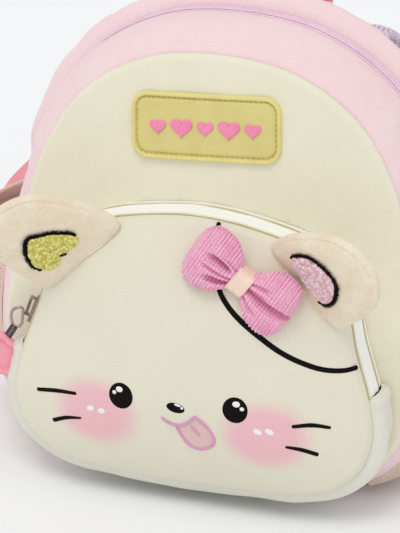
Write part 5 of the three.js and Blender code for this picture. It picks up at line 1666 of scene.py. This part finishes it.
def rounded(name, node, finish, bevel):
    """A copy of a solid with its doubles merged, its flat faces joined and its edges bevelled."""
    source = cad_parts[node]
    mesh = source.data.copy()
    mesh.transform(source.matrix_world)
    thing = bpy.data.objects.new(name, mesh)
    bpy.context.scene.collection.objects.link(thing)
    mesh.materials.clear()
    mesh.materials.append(finish)
    weld = thing.modifiers.new("weld", "WELD")
    weld.merge_threshold = 2e-5
    flat = thing.modifiers.new("flat", "DECIMATE")
    flat.decimate_type = "DISSOLVE"
    flat.angle_limit = np.radians(2)
    edge = thing.modifiers.new("edge", "BEVEL")
    edge.width, edge.segments, edge.limit_method = bevel * 0.001, 3, "ANGLE"
    bpy.context.view_layer.update()
    finished = bpy.data.meshes.new_from_object(thing.evaluated_get(bpy.context.evaluated_depsgraph_get()))
    thing.modifiers.clear()
    thing.data = finished
    finished.polygons.foreach_set("use_smooth", np.ones(len(finished.polygons), bool))
    finished.set_sharp_from_angle(angle=np.radians(40))
    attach(thing, "root")
    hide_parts(node)
    print(f"{name}: {len(finished.polygons)} faces")


for node, finish in (("main_zip_slider", gunmetal), ("main_zip_pull", gunmetal), ("pocket_slider", bronze)):
    rounded(f"{node}_metal", node, finish, 0.35)
for side in ("left", "right"):
    rounded(f"strap_adjuster_{side}_plastic", f"strap_adjuster_{side}", buckle, 0.7)

# %% [markdown]
# The pocket's pull hangs close to the eye: a ring of bent wire with one flat side, two crimped
# bars, and a rubber flower. They are too small and too round for a bevel, so they are built
# anew, in millimetres to the right, upwards and out towards the camera from the ring's middle.

# %% The pocket's pull
PULL_PLACE = np.array([-101.6, -67.5, 89.5])
pull_right = np.array([level[0], level[1], 0.0])
pull_facing = np.cross(pull_right, [0, 0, 1.0])


def on_pull(across, up, out):
    """A place by the pull from millimetres to the right, upwards and out towards the viewer."""
    across, up, out = np.broadcast_arrays(across, up, out)
    return PULL_PLACE + stack(0, 0, up) + across[..., None] * pull_right + out[..., None] * pull_facing


def wire(name, loop, radius, finish, nodes, slot):
    """A closed round wire along a closed curve of across and up."""
    steps, sides = 120, 16
    path = Path(loop, closed=True)
    t = np.linspace(0, 1, steps, endpoint=False)
    p, h = path.at(t), path.heading(t)
    side = np.stack([-h[:, 1], h[:, 0]], -1)
    angle = np.linspace(0, 2 * np.pi, sides, endpoint=False)
    plan = p[:, None] + side[:, None] * (np.cos(angle) * radius)[None, :, None]
    points = on_pull(plan[..., 0], plan[..., 1], radius * np.sin(angle)).reshape(-1, 3)
    ring = np.arange(sides)
    following, last = (ring + 1) % sides, (steps - 1) * sides
    joint = np.stack([last + ring, last + following, following, ring], -1)
    faces = np.vstack([quads(steps, sides, True), joint])
    return build(name, points, list(faces), list(np.zeros((len(faces), 4, 2))), finish, nodes, slot)


def bars(name, ends, half, finish, nodes, slot):
    """Bars of a nearly square section, each from one place to another, thinner at both ends."""
    t = np.linspace(0, 1, 14)
    w, d = section(24, 4)
    points, faces, start = [], [], 0
    for a, b in np.array(ends, float):
        run = (b - a) / np.linalg.norm(b - a)
        plan = a + (b - a) * t[:, None]
        grow = np.sqrt(np.clip(1 - np.abs(2 * t - 1) ** 10, 0.2, 1))[:, None] * half
        across, up = plan[:, :1] - run[1] * w * grow, plan[:, 1:] + run[0] * w * grow
        rings = on_pull(across, up, 0.6 + d * grow * 0.9)
        parts, sides, caps = skin(rings)
        points.append(parts)
        faces += list(sides + start) + list(caps + start)
        start += len(parts)
    uv = [np.zeros((len(face), 2)) for face in faces]
    return build(name, np.vstack(points), faces, uv, finish, nodes, slot)


RING_LOOP = [
    (-2.9, 3.9), (0.4, 5.6), (2.0, 5.4), (2.6, 3.8), (2.4, 0), (1.9, -4.2), (0.2, -5.6), (-2.2, -5.0),
    (-3.4, -2), (-3.6, 1.4),
]
CLIP_BARS = [((-2.6, -4.2), (-6.6, -11.0)), ((-0.6, -5.2), (-4.6, -12.2))]
wire("pocket_ring_metal", RING_LOOP, 0.8, silver, ["pocket_pull_ring"], "metal")
bars("pocket_clip_metal", CLIP_BARS, 1.05, gunmetal, ["pocket_pull_clip"], "metal")


def flower(t, size, border):
    """A loop of five soft lobes, drawn in by a border."""
    angle = 2 * np.pi * t
    radius = size / 2 * (1 - 0.16 * (0.5 - 0.5 * np.cos(5 * angle))) - border
    return np.stack([radius * np.sin(angle), radius * np.cos(angle) * 1.12], -1)


# Each row: how far a ring is drawn in from the charm's edge, and its height over the middle.
CHARM_ROWS = np.array([
    (9.5, 1.5), (7.5, 1.5), (5.5, 1.4), (4.4, 1.2), (3.9, 1.2), (3.4, 2.3), (2.8, 3.3), (2.0, 3.7),
    (1.2, 3.5), (0.6, 2.8), (0.2, 1.8), (0, 0.8),
])
CHARM_PLACE, CHARM_SIZE, CHARM_POINTS = (-9.0, -22.0), 24.0, 300
t = np.arange(CHARM_POINTS) / CHARM_POINTS
plan = np.stack([flower(t, CHARM_SIZE, inset) for inset in CHARM_ROWS[:, 0]]) + np.array(CHARM_PLACE)
heights = CHARM_ROWS[:, 1:]
front = on_pull(plan[..., 0], plan[..., 1], heights)
behind = on_pull(plan[..., 0], plan[..., 1], 0.6 - heights)
disc("pocket_charm_rubber", front, behind, charm_rubber, ["pocket_pull_charm"], slot="soft_pink")

# %% [markdown]
# ## Floor and light
#
# A wide pale floor, an even white sky, and one large soft sun from above and in front, which
# gives the bag its gentle shading and the soft shadow at its foot.

# %% Floor and light
FLOOR_HALF, SKY_STRENGTH, SUN_STRENGTH, SUN_ANGLE = 30, 0.745, 0.78, 26
mesh = bpy.data.meshes.new("floor")
corners = [(x * FLOOR_HALF, y * FLOOR_HALF, 0) for x, y in ((-1, -1), (1, -1), (1, 1), (-1, 1))]
mesh.from_pydata(corners, [], [(0, 1, 2, 3)])
kit = Finish("pale_floor", 0.9, Specular_IOR_Level=0.0)
tone = kit.noise(kit.place(), 900.0)
mesh.materials.append(kit.finish(kit.blend(tone, light(248, 250, 252), light(249, 251, 253))))
floor = bpy.data.objects.new("floor", mesh)
bpy.context.scene.collection.objects.link(floor)

world = bpy.data.worlds.new("sky")
world.use_nodes = True
world.node_tree.nodes["Background"].inputs["Color"].default_value = (1.0, 1.0, 1.0, 1.0)
world.node_tree.nodes["Background"].inputs["Strength"].default_value = SKY_STRENGTH
bpy.context.scene.world = world


def sun(name, strength, towards, angle):
    """A sun whose rays travel in a direction, with a soft angle in degrees."""
    lamp = bpy.data.lights.new(name, "SUN")
    lamp.energy, lamp.angle = strength, np.radians(angle)
    thing = bpy.data.objects.new(name, lamp)
    d = np.array(towards, float)
    d = d / np.linalg.norm(d)
    side = np.cross([0, 0, 1.0], -d)
    side = side / np.linalg.norm(side)
    turn = np.eye(4)
    turn[:3, 0], turn[:3, 1], turn[:3, 2] = side, np.cross(-d, side), -d
    thing.matrix_world = Matrix(turn.tolist())
    bpy.context.scene.collection.objects.link(thing)


sun("key", SUN_STRENGTH, (0.05, 0.55, -0.95), SUN_ANGLE)
scene = bpy.context.scene
scene.view_settings.view_transform = "Standard"
scene.view_settings.look = "None"
scene.view_settings.exposure = 0.0
print("lights:", [light_source.name for light_source in bpy.data.lights])
